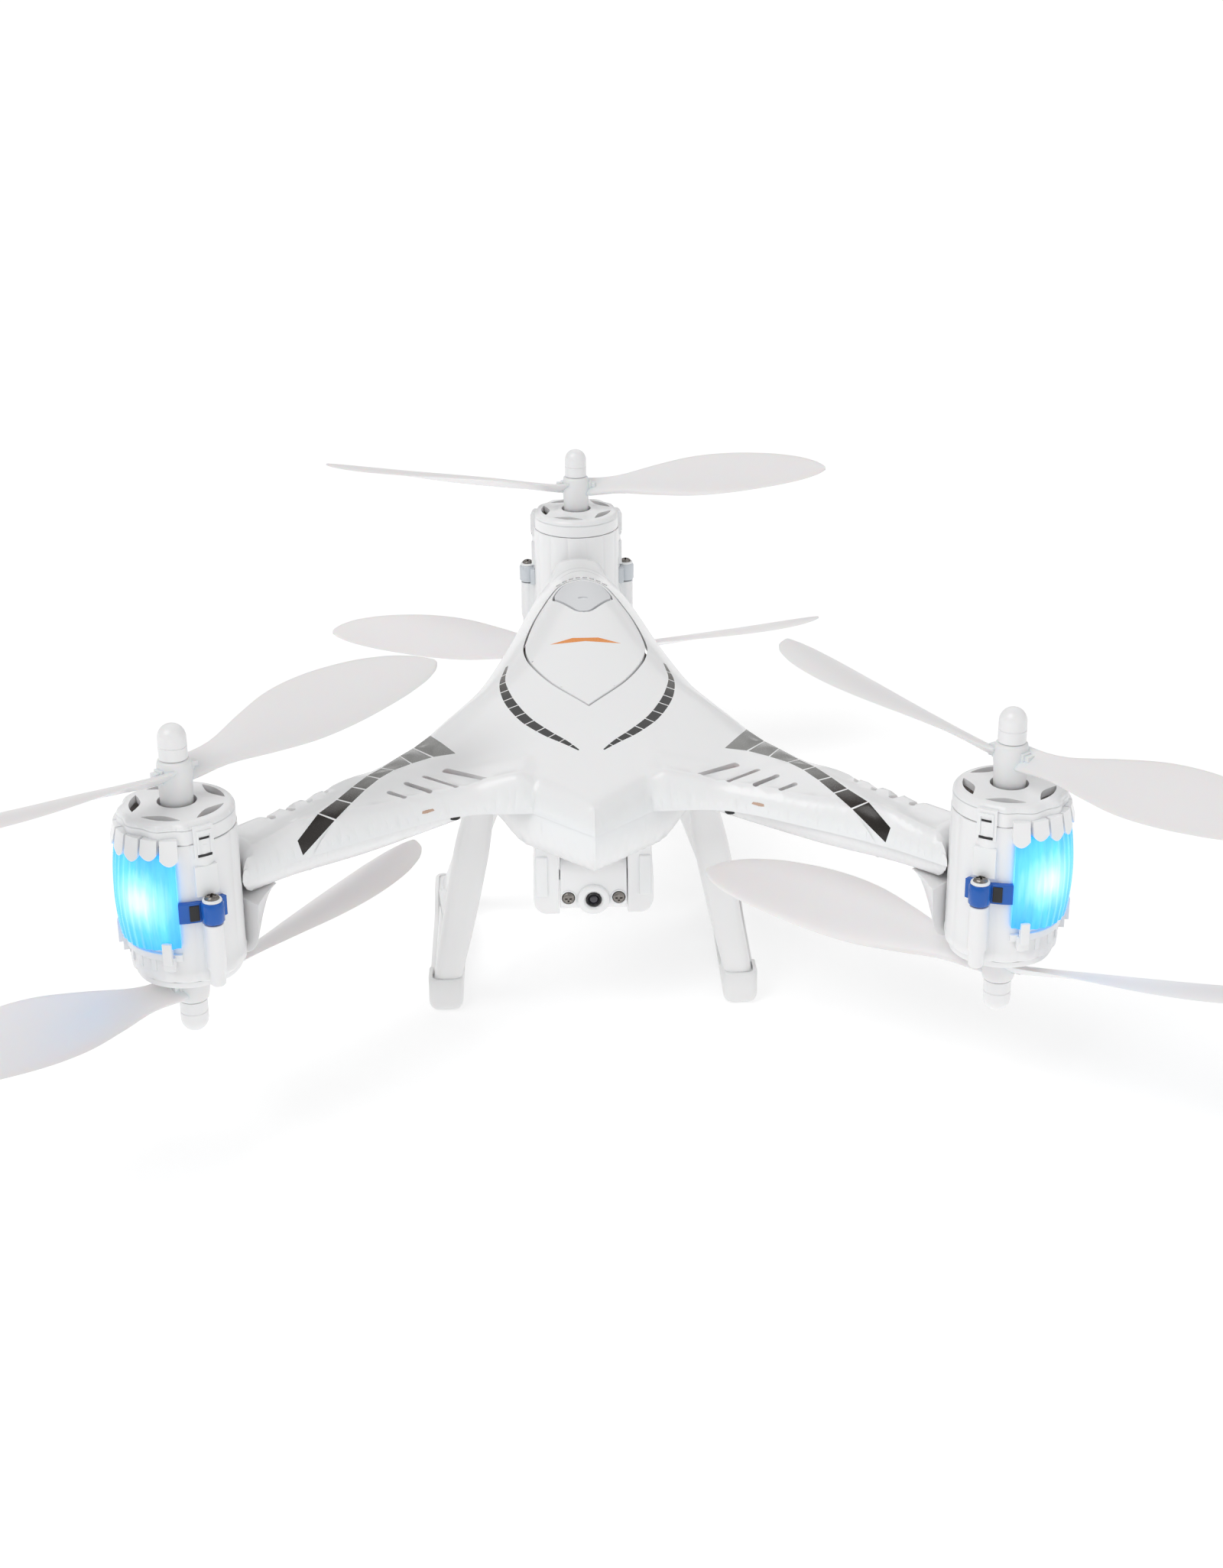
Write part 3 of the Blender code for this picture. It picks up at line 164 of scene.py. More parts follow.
def ramp(nodes, links, source, stops):
    made = nodes.new("ShaderNodeValToRGB")
    band = made.color_ramp
    while len(band.elements) < len(stops):
        band.elements.new(0.5)
    for element, (spot, colour) in zip(band.elements, stops):
        element.position = spot
        element.color = (*colour, 1.0)
    links.new(source, made.inputs["Fac"])
    return made.outputs["Color"]


def remap(nodes, links, source, low, high, from_low=0.3, from_high=0.7):
    made = nodes.new("ShaderNodeMapRange")
    made.inputs["From Min"].default_value = from_low
    made.inputs["From Max"].default_value = from_high
    made.inputs["To Min"].default_value = low
    made.inputs["To Max"].default_value = high
    links.new(source, made.inputs["Value"])
    return made.outputs["Result"]


def bump(nodes, links, shader, source, depth):
    made = nodes.new("ShaderNodeBump")
    made.inputs["Strength"].default_value = 0.20
    made.inputs["Distance"].default_value = depth
    links.new(source, made.inputs["Height"])
    links.new(made.outputs["Normal"], shader.inputs["Normal"])


def moulded(name, colour, roughness, shade=0.05, grain=0.00002, soft=0.0, coat=0.0, stretch=(1, 1, 1)):
    """Moulded plastic: faint flow marks, uneven gloss and a fine skin texture."""
    look, nodes, links, shader = start_look(name)
    dark = tuple(c * (1.0 - shade) for c in colour)
    flow = noise(nodes, links, 30.0, 2.0, stretch)
    links.new(ramp(nodes, links, flow, ((0.20, dark), (0.80, colour))), shader.inputs["Base Color"])
    patch = noise(nodes, links, 90.0, 1.0, stretch)
    links.new(remap(nodes, links, patch, roughness * 0.92, roughness * 1.1), shader.inputs["Roughness"])
    bump(nodes, links, shader, noise(nodes, links, 700.0, 1.0, stretch), grain)
    shader.inputs["Subsurface Weight"].default_value = soft
    shader.inputs["Subsurface Scale"].default_value = 0.002
    shader.inputs["Coat Weight"].default_value = coat
    shader.inputs["Coat Roughness"].default_value = 0.08
    return look


def metal(name, colour, roughness, stretch):
    """Drawn or plated metal with fine streaks."""
    look, nodes, links, shader = start_look(name)
    dark = tuple(c * 0.7 for c in colour)
    streak = noise(nodes, links, 700.0, 4.0, stretch)
    links.new(ramp(nodes, links, streak, ((0.35, dark), (0.65, colour))), shader.inputs["Base Color"])
    links.new(remap(nodes, links, streak, roughness * 0.7, roughness * 1.3), shader.inputs["Roughness"])
    bump(nodes, links, shader, streak, 0.00001)
    shader.inputs["Metallic"].default_value = 1.0
    return look


def lamp(name, centre, stops, base, strength, reach=0.0150, clear=0.25):
    """Glowing lens: colour spreads out from the light behind it, broken up by moulded streaks."""
    look, nodes, links, shader = start_look(name)
    where = nodes.new("ShaderNodeTexCoord")
    away = nodes.new("ShaderNodeVectorMath")
    away.operation = "DISTANCE"
    away.inputs[1].default_value = centre
    links.new(where.outputs["Object"], away.inputs[0])
    streak = noise(nodes, links, 900.0, 2.0, (1.0, 1.0, 0.08))
    broken = nodes.new("ShaderNodeMath")
    broken.operation = "MULTIPLY_ADD"
    broken.inputs[1].default_value = 0.0050
    links.new(streak, broken.inputs[0])
    links.new(away.outputs["Value"], broken.inputs[2])
    spread = remap(nodes, links, broken.outputs["Value"], 0.0, 1.0, 0.0025, reach + 0.0025)
    colour = ramp(nodes, links, spread, stops)
    links.new(colour, shader.inputs["Emission Color"])
    shader.inputs["Emission Strength"].default_value = strength
    patch = noise(nodes, links, 300.0, 2.0, (1.0, 1.0, 0.2))
    deep = tuple(c * 0.55 for c in base)
    links.new(ramp(nodes, links, patch, ((0.35, deep), (0.65, base))), shader.inputs["Base Color"])
    links.new(remap(nodes, links, patch, 0.08, 0.20), shader.inputs["Roughness"])
    shader.inputs["Transmission Weight"].default_value = clear
    return look


def printed(name, centre, near, far, stops, roughness=0.22):
    """Printed film whose tone changes with the distance from a centre, from near to far."""
    look, nodes, links, shader = start_look(name)
    where = nodes.new("ShaderNodeTexCoord")
    away = nodes.new("ShaderNodeVectorMath")
    away.operation = "DISTANCE"
    away.inputs[1].default_value = centre
    links.new(where.outputs["Object"], away.inputs[0])
    speck = noise(nodes, links, 2600.0, 2.0)
    mixed = nodes.new("ShaderNodeMath")
    mixed.operation = "MULTIPLY_ADD"
    mixed.inputs[1].default_value = (far - near) * 0.22
    links.new(speck, mixed.inputs[0])
    links.new(away.outputs["Value"], mixed.inputs[2])
    spread = remap(nodes, links, mixed.outputs["Value"], 0.0, 1.0, near, far)
    links.new(ramp(nodes, links, spread, stops), shader.inputs["Base Color"])
    links.new(remap(nodes, links, speck, roughness * 0.8, roughness * 1.3), shader.inputs["Roughness"])
    return look


WHITE = moulded("shell_white", (0.92, 0.92, 0.925), 0.30, 0.02, 0.000004, 0.05, 0.35)
POD_WHITE = moulded("pod_white", (0.91, 0.91, 0.915), 0.30, 0.02, 0.000004, 0.05, 0.25)
SKID_WHITE = moulded("skid_white", (0.89, 0.89, 0.89), 0.42, 0.03, 0.00001, 0.05)
BLADE_WHITE = moulded("blade_white", (0.86, 0.86, 0.865), 0.34, 0.02, 0.000004, 0.20)
PANEL_GREY = moulded("latch_grey", (0.74, 0.75, 0.77), 0.30, 0.02, 0.000004)
TAN = moulded("motor_mount_tan", (0.30, 0.19, 0.10), 0.55, 0.3)
# Black plastic; the same look also paints shade into recesses, vents, wells and slits.
BLACK = moulded("dark_plastic_and_painted_shade", (0.012, 0.012, 0.014), 0.38, 0.3)
RED = moulded("wire_red", (0.55, 0.02, 0.02), 0.40, 0.2)
BLUE = moulded("wire_blue", (0.02, 0.05, 0.30), 0.40, 0.2)
SKIN_WIRE = moulded("wire_tan", (0.62, 0.42, 0.32), 0.45, 0.15)
LINER = moulded("inner_liner_tan", (0.62, 0.47, 0.40), 0.6, 0.2)
WRAP = moulded("battery_wrap", (0.02, 0.26, 0.27), 0.35, 0.25, 0.00004)
MASK = moulded("board_mask", (0.01, 0.14, 0.06), 0.35, 0.35, 0.00003)
CHIP = moulded("chip_black", (0.02, 0.02, 0.022), 0.50, 0.3, 0.00002)
GOLD = metal("pin_gold", (0.83, 0.60, 0.22), 0.25, (1, 1, 1))
STEEL = metal("screw_steel", (0.30, 0.28, 0.26), 0.30, (1, 1, 0.3))
SHAFT = metal("shaft_steel", (0.55, 0.54, 0.53), 0.22, (1, 1, 0.05))
CAN = metal("motor_can", (0.55, 0.55, 0.56), 0.35, (1, 1, 0.06))
ACCENT = printed("accent_orange", (0.0, 0.0, 0.0), 0.0, 0.08,
                 ((0.0, (0.90, 0.26, 0.03)), (1.0, (0.80, 0.30, 0.06))), 0.3)
BAND_PRINT = printed("arm_band_print", (0.0, 0.0, 0.0), 0.055, 0.125,
                     ((0.0, (0.27, 0.27, 0.26)), (0.55, (0.19, 0.19, 0.18)), (0.75, (0.035, 0.028, 0.024)),
                      (1.0, (0.012, 0.009, 0.007))))
ARC_PRINT = printed("body_arc_print", (0.0, 0.03, 0.03), 0.026, 0.056,
                    ((0.0, (0.40, 0.40, 0.40)), (0.35, (0.12, 0.11, 0.10)), (0.8, (0.010, 0.010, 0.010))))
SEAM_GREY = moulded("seam_grey", (0.42, 0.42, 0.43), 0.4, 0.1)
LENS_RING = moulded("lens_bezel", (0.02, 0.02, 0.022), 0.20, 0.3)


def coated_glass():
    """Dark camera glass with a faint violet cast."""
    look, nodes, links, shader = start_look("camera_glass")
    cast = noise(nodes, links, 400.0, 1.0)
    links.new(ramp(nodes, links, cast, ((0.3, (0.003, 0.004, 0.012)), (0.7, (0.012, 0.004, 0.020)))),
              shader.inputs["Base Color"])
    links.new(remap(nodes, links, cast, 0.02, 0.05), shader.inputs["Roughness"])
    shader.inputs["Coat Weight"].default_value = 1.0
    shader.inputs["Coat Roughness"].default_value = 0.02
    return look


GLASS = coated_glass()
LED_Y = 0.0485
LED = lamp("latch_led", place(0.0, LED_Y, 0.100), ((0.0, (1.0, 1.0, 1.0)), (1.0, (0.75, 0.80, 0.85))),
           (0.85, 0.88, 0.90), 0.15)


# ---- mesh assembly ----------------------------------------------------------------------
class Shape:
    """Points and faces of one piece, gathered from closed forms, each with its own look."""

    def __init__(self, *looks):
        self.looks = list(looks)
        self.points = []
        self.faces = []
        self.marks = []

    def add(self, form, look=None):
        points, faces = form[0], form[1]
        marks = form[2] if len(form) > 2 else [0] * len(faces)
        offset = len(self.points)
        base = self.looks.index(look) if look else 0
        self.points += [tuple(p) for p in points]
        self.faces += [tuple(i + offset for i in face) for face in faces]
        self.marks += [base + mark for mark in marks]
        return self


def make_piece(name, shape, body, nodes=(), bevel=0.0, sharp=38.0):
    bm = bmesh.new()
    corners = [bm.verts.new(p) for p in shape.points]
    for face, mark in zip(shape.faces, shape.marks):
        made = bm.faces.new([corners[i] for i in face])
        made.material_index = mark
    bmesh.ops.recalc_face_normals(bm, faces=bm.faces)
    mesh = bpy.data.meshes.new(name)
    bm.to_mesh(mesh)
    bm.free()
    for look in shape.looks:
        mesh.materials.append(look)
    mesh.shade_smooth()
    mesh.set_sharp_from_angle(angle=radians(sharp))
    made = bpy.data.objects.new(name, mesh)
    bpy.context.collection.objects.link(made)
    if bevel:
        soften = made.modifiers.new("soften", "BEVEL")
        soften.width = bevel
        soften.segments = 2
        soften.limit_method = "ANGLE"
        soften.angle_limit = radians(sharp)
        soften.use_clamp_overlap = True
    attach(made, body)
    if nodes:
        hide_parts(*nodes)
    return made


def around(centre, radius, angle, height):
    """Point at a radius and an angle about an upright axis."""
    return place(centre[0] + radius * cos(angle), centre[1] + radius * sin(angle), height)


def lathe(profile, centre, count=48, bend=None):
    """Form turned about a vertical axis; bend(radii, height, angles) may reshape each ring."""
    angles = np.arange(count) * 2 * pi / count
    points = []
    rings = []
    for radius, height in profile:
        first = len(points)
        if radius == 0.0:
            points.append(place(*centre, height))
            rings.append([first])
            continue
        radii = np.full(count, radius)
        if bend:
            radii = bend(radii, height, angles)
        points += [around(centre, r, a, height) for r, a in zip(radii, angles)]
        rings.append(list(range(first, first + count)))
    pairs = list(zip(rings, rings[1:]))
    if profile[0][0] != 0.0:
        pairs.append((rings[-1], rings[0]))
    faces = []
    for a, b in pairs:
        for i in range(count):
            j = (i + 1) % count
            face = (a[i % len(a)], a[j % len(a)], b[j % len(b)], b[i % len(b)])
            faces.append(tuple(dict.fromkeys(face)))
    return points, faces


def loft(rings):
    """Closed form through rings of equal count, capped at both ends."""
    count = len(rings[0])
    points = [p for ring in rings for p in ring]
    faces = [tuple(range(count)), tuple(range(len(points) - count, len(points)))]
    for k in range(len(rings) - 1):
        for i in range(count):
            j = (i + 1) % count
            faces.append((k * count + i, k * count + j, (k + 1) * count + j, (k + 1) * count + i))
    return points, faces


def panel(outer, inner):
    """Closed curved plate between two grids of points of the same size."""
    rows, columns = len(outer), len(outer[0])
    points = [p for row in outer for p in row] + [p for row in inner for p in row]
    half = rows * columns
    faces = []
    for r in range(rows - 1):
        for c in range(columns - 1):
            a = r * columns + c
            faces.append((a, a + 1, a + columns + 1, a + columns))
            faces.append((half + a, half + a + columns, half + a + columns + 1, half + a + 1))
    rim = [c for c in range(columns)]
    rim += [r * columns + columns - 1 for r in range(1, rows)]
    rim += [(rows - 1) * columns + c for c in range(columns - 2, -1, -1)]
    rim += [r * columns for r in range(rows - 2, 0, -1)]
    for a, b in zip(rim, rim[1:] + rim[:1]):
        faces.append((a, b, half + b, half + a))
    return points, faces


def arc_plate(centre, inner, outer, middle, half_angle, low, high, count):
    """Curved block round an axis, centred on an angle; an outer radius or a low edge may be a function."""
    def value(item, angle, share):
        return item(angle, share) if callable(item) else item

    steps = [middle + half_angle * (2 * i / count - 1) for i in range(count + 1)]
    grids = []
    for radius in (outer, inner):
        rows = []
        for k in range(5):
            share = k / 4
            row = []
            for a in steps:
                r = value(radius, a, share)
                bottom = value(low, a, share)
                row.append(around(centre, r, a, bottom + (high - bottom) * share))
            rows.append(row)
        grids.append(rows)
    return panel(*grids)


def on_pod(centre, inner, outer, middle, half_angle, low, high, count):
    """Curved block on a pod's wall, between two steps in or out from the pod's radius."""
    return arc_plate(centre, POD_RADIUS + inner, POD_RADIUS + outer, middle, half_angle, low, high, count)


def block(x0, x1, y0, y1, low, high):
    corners = ((x0, y0), (x1, y0), (x1, y1), (x0, y1))
    return loft([[place(x, y, h) for x, y in corners] for h in (low, high)])


def round_block(x0, x1, y0, y1, low, high, radius, steps=4):
    """Block with rounded upright corners and softened top and bottom."""
    rings = []
    levels = [(radius * (1 - sin(pi / 2 * k / steps)), low + radius * (1 - cos(pi / 2 * k / steps)))
              for k in range(steps + 1)]
    levels += [(inset, high - (height - low)) for inset, height in reversed(levels)]
    for inset, height in levels:
        ring = []
        for cx, cy, first in ((x1, y1, 0), (x0, y1, 1), (x0, y0, 2), (x1, y0, 3)):
            sx = -1 if cx == x1 else 1
            sy = -1 if cy == y1 else 1
            for k in range(steps + 1):
                a = pi / 2 * (first + k / steps)
                ring.append(place(cx + sx * radius + (radius - inset) * cos(a),
                                  cy + sy * radius + (radius - inset) * sin(a), height))
        rings.append(ring)
    return loft(rings)


def circle(cx, cy, radius, count):
    angles = [2 * pi * i / count for i in range(count)]
    return [(cx + radius * cos(a), cy + radius * sin(a)) for a in angles]


def tube(path, radius, count=8):
    """Round wire along a path of (x, y, height) points."""
    spots = [Vector(place(*p)) for p in path]
    rings = []
    for i, spot in enumerate(spots):
        run = (spots[min(i + 1, len(spots) - 1)] - spots[max(i - 1, 0)]).normalized()
        side = run.cross(Vector((0, 0, 1))).normalized()
        up = side.cross(run)
        rings.append([tuple(spot + side * x + up * y) for x, y in circle(0.0, 0.0, radius, count)])
    return loft(rings)


def bent_path(points, steps=6):
    """Catmull-Rom curve through points of any dimension, ends included."""
    pts = [np.array(p, float) for p in points]
    ends = [pts[0] * 2 - pts[1]] + pts + [pts[-1] * 2 - pts[-2]]
    path = []
    for i in range(1, len(ends) - 2):
        p0, p1, p2, p3 = ends[i - 1:i + 3]
        for k in range(steps):
            t = k / steps
            path.append(tuple(0.5 * (2 * p1 + (p2 - p0) * t + (2 * p0 - 5 * p1 + 4 * p2 - p3) * t * t
                                     + (3 * p1 - p0 - 3 * p2 + p3) * t ** 3)))
    path.append(tuple(pts[-1]))
    return path


# ---- outlines ---------------------------------------------------------------------------
def arm_point(along, offset, side=1):
    """Plan point beside a front arm's centre line."""
    x = along * sin(ARM_ANGLE) + offset * cos(ARM_ANGLE)
    y = -along * cos(ARM_ANGLE) + offset * sin(ARM_ANGLE)
    return side * x, y


def mirrored(half):
    return list(half) + [(-x, y) for x, y in reversed(half[1:-1])]


def pod_arc(centre, inwards, half_width, half=False, count=12):
    radius = POD_RADIUS + GAP
    spread = asin(half_width / radius)
    stop = 0.0 if half else -spread
    angles = [inwards + spread + (stop - spread) * i / count for i in range(count + 1)]
    return [(centre[0] + radius * cos(a), centre[1] + radius * sin(a)) for a in angles]


def shell_outline(nose, trim):
    front = [arm_point(ARM_REACH - b, t + trim) for b, t in ARM_FRONT_EDGE]
    back = [arm_point(ARM_REACH - b, t - trim) for b, t in ARM_BACK_EDGE]
    body = [(x - trim, y) for x, y in BODY_SIDE]
    rear = [(0.0120 - trim, ARM_REACH - 0.034)]
    end_width = ARM_END_HALF_WIDTH - trim
    arc = pod_arc((ARM_X, ARM_Y), ARM_ANGLE + pi / 2, end_width)
    rear_arc = pod_arc((0.0, ARM_REACH), -pi / 2, end_width, True, 6)
    side = bent_path([nose[-1]] + front[len(nose) - 2:] + arc[:1], 8)
    side += arc[1:-1] + bent_path(arc[-1:] + back + body + rear + rear_arc[:1], 8)
    return mirrored(nose[:-1] + side + rear_arc[1:])


def upper_outline():
    run = [(SHOULDER * k / 6, SHOULDER * k / 6 - NOSE_REACH) for k in range(7)]
    return shell_outline([run[0], run[-1]], 0.0)


def lower_outline():
    tip = 0.0003 - NOSE_REACH
    return shell_outline([(0.0, tip), (CHIN / 2, tip + CHIN / 2), (CHIN, tip + CHIN)], LOWER_INSET)


def inset(outline, distance):
    count = len(outline)
    moved = []
    for i in range(count):
        before, here, after = (Vector(outline[k % count]) for k in (i - 1, i, i + 1))
        a = (here - before).normalized()
        b = (after - here).normalized()
        normal = (Vector((-a.y, a.x)) + Vector((-b.y, b.x))).normalized()
        reach = distance / max(0.5, normal.dot(Vector((-a.y, a.x))))
        moved.append(tuple(here + normal * reach))
    return moved


def thinned(outline, spacing):
    """Outline with its points at an even spacing."""
    pts = np.array(outline + outline[:1])
    length = np.concatenate([[0.0], np.cumsum(np.hypot(*np.diff(pts, axis=0).T))])
    count = max(6, int(length[-1] / spacing))
    at = np.linspace(0.0, length[-1], count, endpoint=False)
    return list(zip(np.interp(at, length, pts[:, 0]), np.interp(at, length, pts[:, 1])))


HATCH_FRONT = -0.020
HATCH_HALF_WIDTH = 0.0187
HATCH_REAR = 0.0675
LATCH_HALF_WIDTH = 0.0096
LATCH_FRONT = 0.0370


def hatch_outline(grow):
    w = HATCH_HALF_WIDTH
    half = bent_path([(0.0, HATCH_FRONT), (w * 0.58, -0.0068), (w * 0.88, 0.0060), (w, 0.0185),
                      (w * 0.98, 0.0290), (w * 0.83, 0.0440), (w * 0.61, 0.0565)], 7)
    half += bent_path([(w * 0.61, 0.0565), (w * 0.39, 0.0650), (0.0, HATCH_REAR)], 8)[1:]
    return inset(mirrored(half), -grow)


def latch_outline(grow):
    rear = HATCH_REAR - 0.0018
    w = LATCH_HALF_WIDTH
    half = bent_path([(0.0, LATCH_FRONT), (w * 0.30, LATCH_FRONT + 0.0022), (w * 0.97, 0.0535)], 8)
    half += bent_path([(w * 0.97, 0.0535), (w * 0.93, 0.0575), (w * 0.62, rear - 0.0020), (0.0, rear)], 6)[1:]
    return inset(mirrored(half), -grow)


def stadium(centre, angle, length, width, steps=6):
    loop = []
    for end in (1, -1):
        tip = Vector(centre) + Vector((cos(angle), sin(angle))) * end * (length - width) / 2
        for k in range(steps + 1):
            swing = angle + (0 if end > 0 else pi) - pi / 2 + pi * k / steps
            loop.append((tip.x + width / 2 * cos(swing), tip.y + width / 2 * sin(swing)))
    return loop


ARM_SLOTS = ((0.0600, -0.0112, 0.0185), (0.0675, -0.0092, 0.0148), (0.0752, -0.0084, 0.0112),
             (0.0828, -0.0082, 0.0076), (0.1155, 0.0078, 0.0056), (0.1085, 0.0080, 0.0058),
             (0.1018, 0.0088, 0.0058), (0.0950, 0.0098, 0.0052))


def arm_slots():
    """Four long slots through each skirt and four short ones near each pod."""
    loops = []
    for along, offset, length in ARM_SLOTS:
        centre = arm_point(along, offset)
        for side in (-1, 1):
            loops.append([(side * x, y) for x, y in stadium(centre, ARM_ANGLE, length, 0.0021)])
    return loops


def vents():
    """Row of small square openings on an arc behind the hatch."""
    radius = 0.0150
    loops = []
    for i in range(8):
        angle = pi / 2 + (i - 3.5) * 0.150
        x = radius * cos(angle)
        y = HATCH_REAR + 0.0022 - radius + radius * sin(angle)
        wide, deep = 0.00075, 0.0010
        loops.append([(x - wide, y - deep), (x + wide, y - deep), (x + wide, y + deep), (x - wide, y + deep)])
    return loops


def band_segments():
    """Eight tapering segments along each arm's printed band, parted by narrow gaps."""
    loops = []
    for near, far in zip(ARM_BAND, ARM_BAND[1:]):
        corners = []
        for start, end, edge in ((near, far, 1), (far, near, 1), (far, near, 0), (near, far, 0)):
            a, b = np.array(start[edge]), np.array(end[edge])
            corners.append(tuple(a + (b - a) * 0.00060 / np.hypot(*(b - a))))
        if near is ARM_BAND[0]:
            corners.append(BAND_WAIST)
        for side in (-1, 1):
            loop = [arm_point(along, offset, side) for along, offset in corners]
            loops.append(loop[::-side])
    return loops


def arc_segments(count=12):
    """Dashed arc on each side of the hatch, widest in its middle."""
    path = bent_path(BODY_ARC, 10)
    loops = []
    stations = np.linspace(0, len(path) - 1, count + 1)
    for i in range(count):
        steps = np.linspace(stations[i] + 0.22, stations[i + 1] - 0.22, 4)
        outer, inner = [], []
        for s in steps:
            k = min(int(s), len(path) - 2)
            here = np.array(path[k]) + (np.array(path[k + 1]) - np.array(path[k])) * (s - k)
            run = np.array(path[k + 1][:2]) - np.array(path[k][:2])
            run = run / np.hypot(*run)
            across = np.array((-run[1], run[0])) * here[2] / 2
            outer.append(tuple(here[:2] + across))
            inner.append(tuple(here[:2] - across))
        loop = outer + inner[::-1]
        for side in (-1, 1):
            loops.append([(side * x, y) for x, y in loop])
    return loops


def arch_line(rear, half_width, drop, width, count=16):
    """Thin arch across the spine behind the hatch, bowed rearwards."""
    outer, inner = [], []
    for k in range(count + 1):
        share = 2 * k / count - 1
        y = rear - drop * share ** 2
        thick = width * max(0.2, 1 - share ** 4)
        outer.append((half_width * share, y + thick / 2))
        inner.append((half_width * share, y - thick / 2))
    return outer + inner[::-1]


# ---- surfaces ---------------------------------------------------------------------------
def edge_distance(points, outline):
    start = np.array(outline)
    span = np.roll(start, -1, axis=0) - start
    length = (span ** 2).sum(1) + 1e-18
    reach = points[:, None, :] - start[None, :, :]
    along = np.clip((reach * span).sum(2) / length, 0.0, 1.0)
    off = reach - along[:, :, None] * span
    return np.sqrt((off ** 2).sum(2)).min(1)


def inside(points, outline):
    hit = np.zeros(len(points), dtype=bool)
    count = len(outline)
    for i in range(count):
        (x0, y0), (x1, y1) = outline[i], outline[(i + 1) % count]
        crosses = (y0 > points[:, 1]) != (y1 > points[:, 1])
        run = (points[:, 1] - y0) / (y1 - y0 if y1 != y0 else 1.0)
        hit ^= crosses & (points[:, 0] < x0 + run * (x1 - x0))
    return hit


def smooth_value(table, position):
    """Smooth curve through the keys of a table, without overshoot at its ends."""
    keys = np.array([k for k, _ in table])
    values = np.array([v for _, v in table])
    slopes = np.gradient(values, keys)
    at = np.clip(position, keys[0], keys[-1])
    i = np.clip(np.searchsorted(keys, at, side="right") - 1, 0, len(keys) - 2)
    span = keys[i + 1] - keys[i]
    t = (at - keys[i]) / span
    t2, t3 = t * t, t ** 3
    return ((2 * t3 - 3 * t2 + 1) * values[i] + (t3 - 2 * t2 + t) * span * slopes[i]
            + (3 * t2 - 2 * t3) * values[i + 1] + (t3 - t2) * span * slopes[i + 1])


def rounding(distance, radius):
    run = np.clip(distance / radius, 0.0, 1.0)
    return np.sqrt(1.0 - (1.0 - run) ** 2)


def ease(value):
    t = np.clip(value, 0.0, 1.0)
    return t * t * (3.0 - 2.0 * t)


def arm_coordinates(points):
    x = np.abs(points[:, 0])
    along = x * sin(ARM_ANGLE) - points[:, 1] * cos(ARM_ANGLE)
    offset = x * cos(ARM_ANGLE) + points[:, 1] * sin(ARM_ANGLE)
    return along, offset


def arm_ridge(points):
    along, offset = arm_coordinates(points)
    run = (along - 0.045) / (ARM_REACH - 0.075)
    centre = 0.0120 - 0.0190 * np.clip(run, 0.0, 1.0)
    rise = np.exp(-((offset - centre) / 0.0070) ** 2)
    return 0.0026 * rise * ease(run * 4.0) * ease((1.15 - run) * 4.0)


UPPER = upper_outline()
LOWER = lower_outline()


def upper_surface(points):
    x, y = points[:, 0], points[:, 1]
    edge = edge_distance(points, UPPER)
    crown = smooth_value(SPINE, y) - SEAM - LIP_HEIGHT
    side = np.clip(1.0 - (x / smooth_value(CROWN, y)) ** 2, 0.0, 1.0)
    side = 1.05 * side ** 2 / (side + 0.05)
    rise = LIP_HEIGHT + crown * side ** 0.9 + arm_ridge(points)
    offset = arm_coordinates(points)[1]
    skirt = ease((np.abs(x) - 0.0180) / 0.0016) * ease((-0.020 - y) / 0.02) * ease((0.014 - offset) / 0.008)
    lip = 1.0 - ease((edge - 0.0042) / 0.0016)
    rise += skirt * (0.0014 * lip - 0.0004)
    rise += 0.0016 * ease((np.abs(x) - 0.0170) / 0.0009) * ease((-0.040 - y) / 0.012)
    return SEAM + rise * rounding(edge, EDGE_RADIUS)


def upper_inner(points):
    top = upper_surface(points)
    return np.minimum(top - 0.0002, np.maximum(top - WALL, SEAM))


def lower_surface(points):
    x, y = points[:, 0], points[:, 1]
    side = np.clip(1.0 - (x / smooth_value(UNDERSIDE, y)) ** 2, 0.0, 1.0)
    full = SEAM - GAP - BELLY
    depth = ARM_DEPTH + (full - ARM_DEPTH) * ease(side * 1.7) * ease((0.0900 - y) / 0.030)
    return SEAM - 0.00008 - depth * rounding(edge_distance(points, LOWER), EDGE_RADIUS)


def fill_points(outline, spacing, rings):
    low = np.min(outline, axis=0)
    high = np.max(outline, axis=0)
    kept = []
    for ring in rings:
        row = np.array(thinned(inset(outline, ring), max(0.0011, min(spacing, ring * 1.6))))
        good = inside(row, outline) & (edge_distance(row, outline) > ring * 0.85)
        kept.append(row[good])
    rows = int((high[1] - low[1]) / (spacing * 0.87)) + 1
    columns = int((high[0] - low[0]) / spacing / 2) + 1
    grid = np.array([((c + 0.5 * (r % 2)) * spacing, low[1] + r * spacing * 0.87)
                     for r in range(rows) for c in range(-columns - 1, columns + 1)])
    good = inside(grid, outline)
    grid = grid[good]
    kept.append(grid[edge_distance(grid, outline) > (max(rings) if rings else 0.0) + spacing * 0.5])
    return np.concatenate(kept)


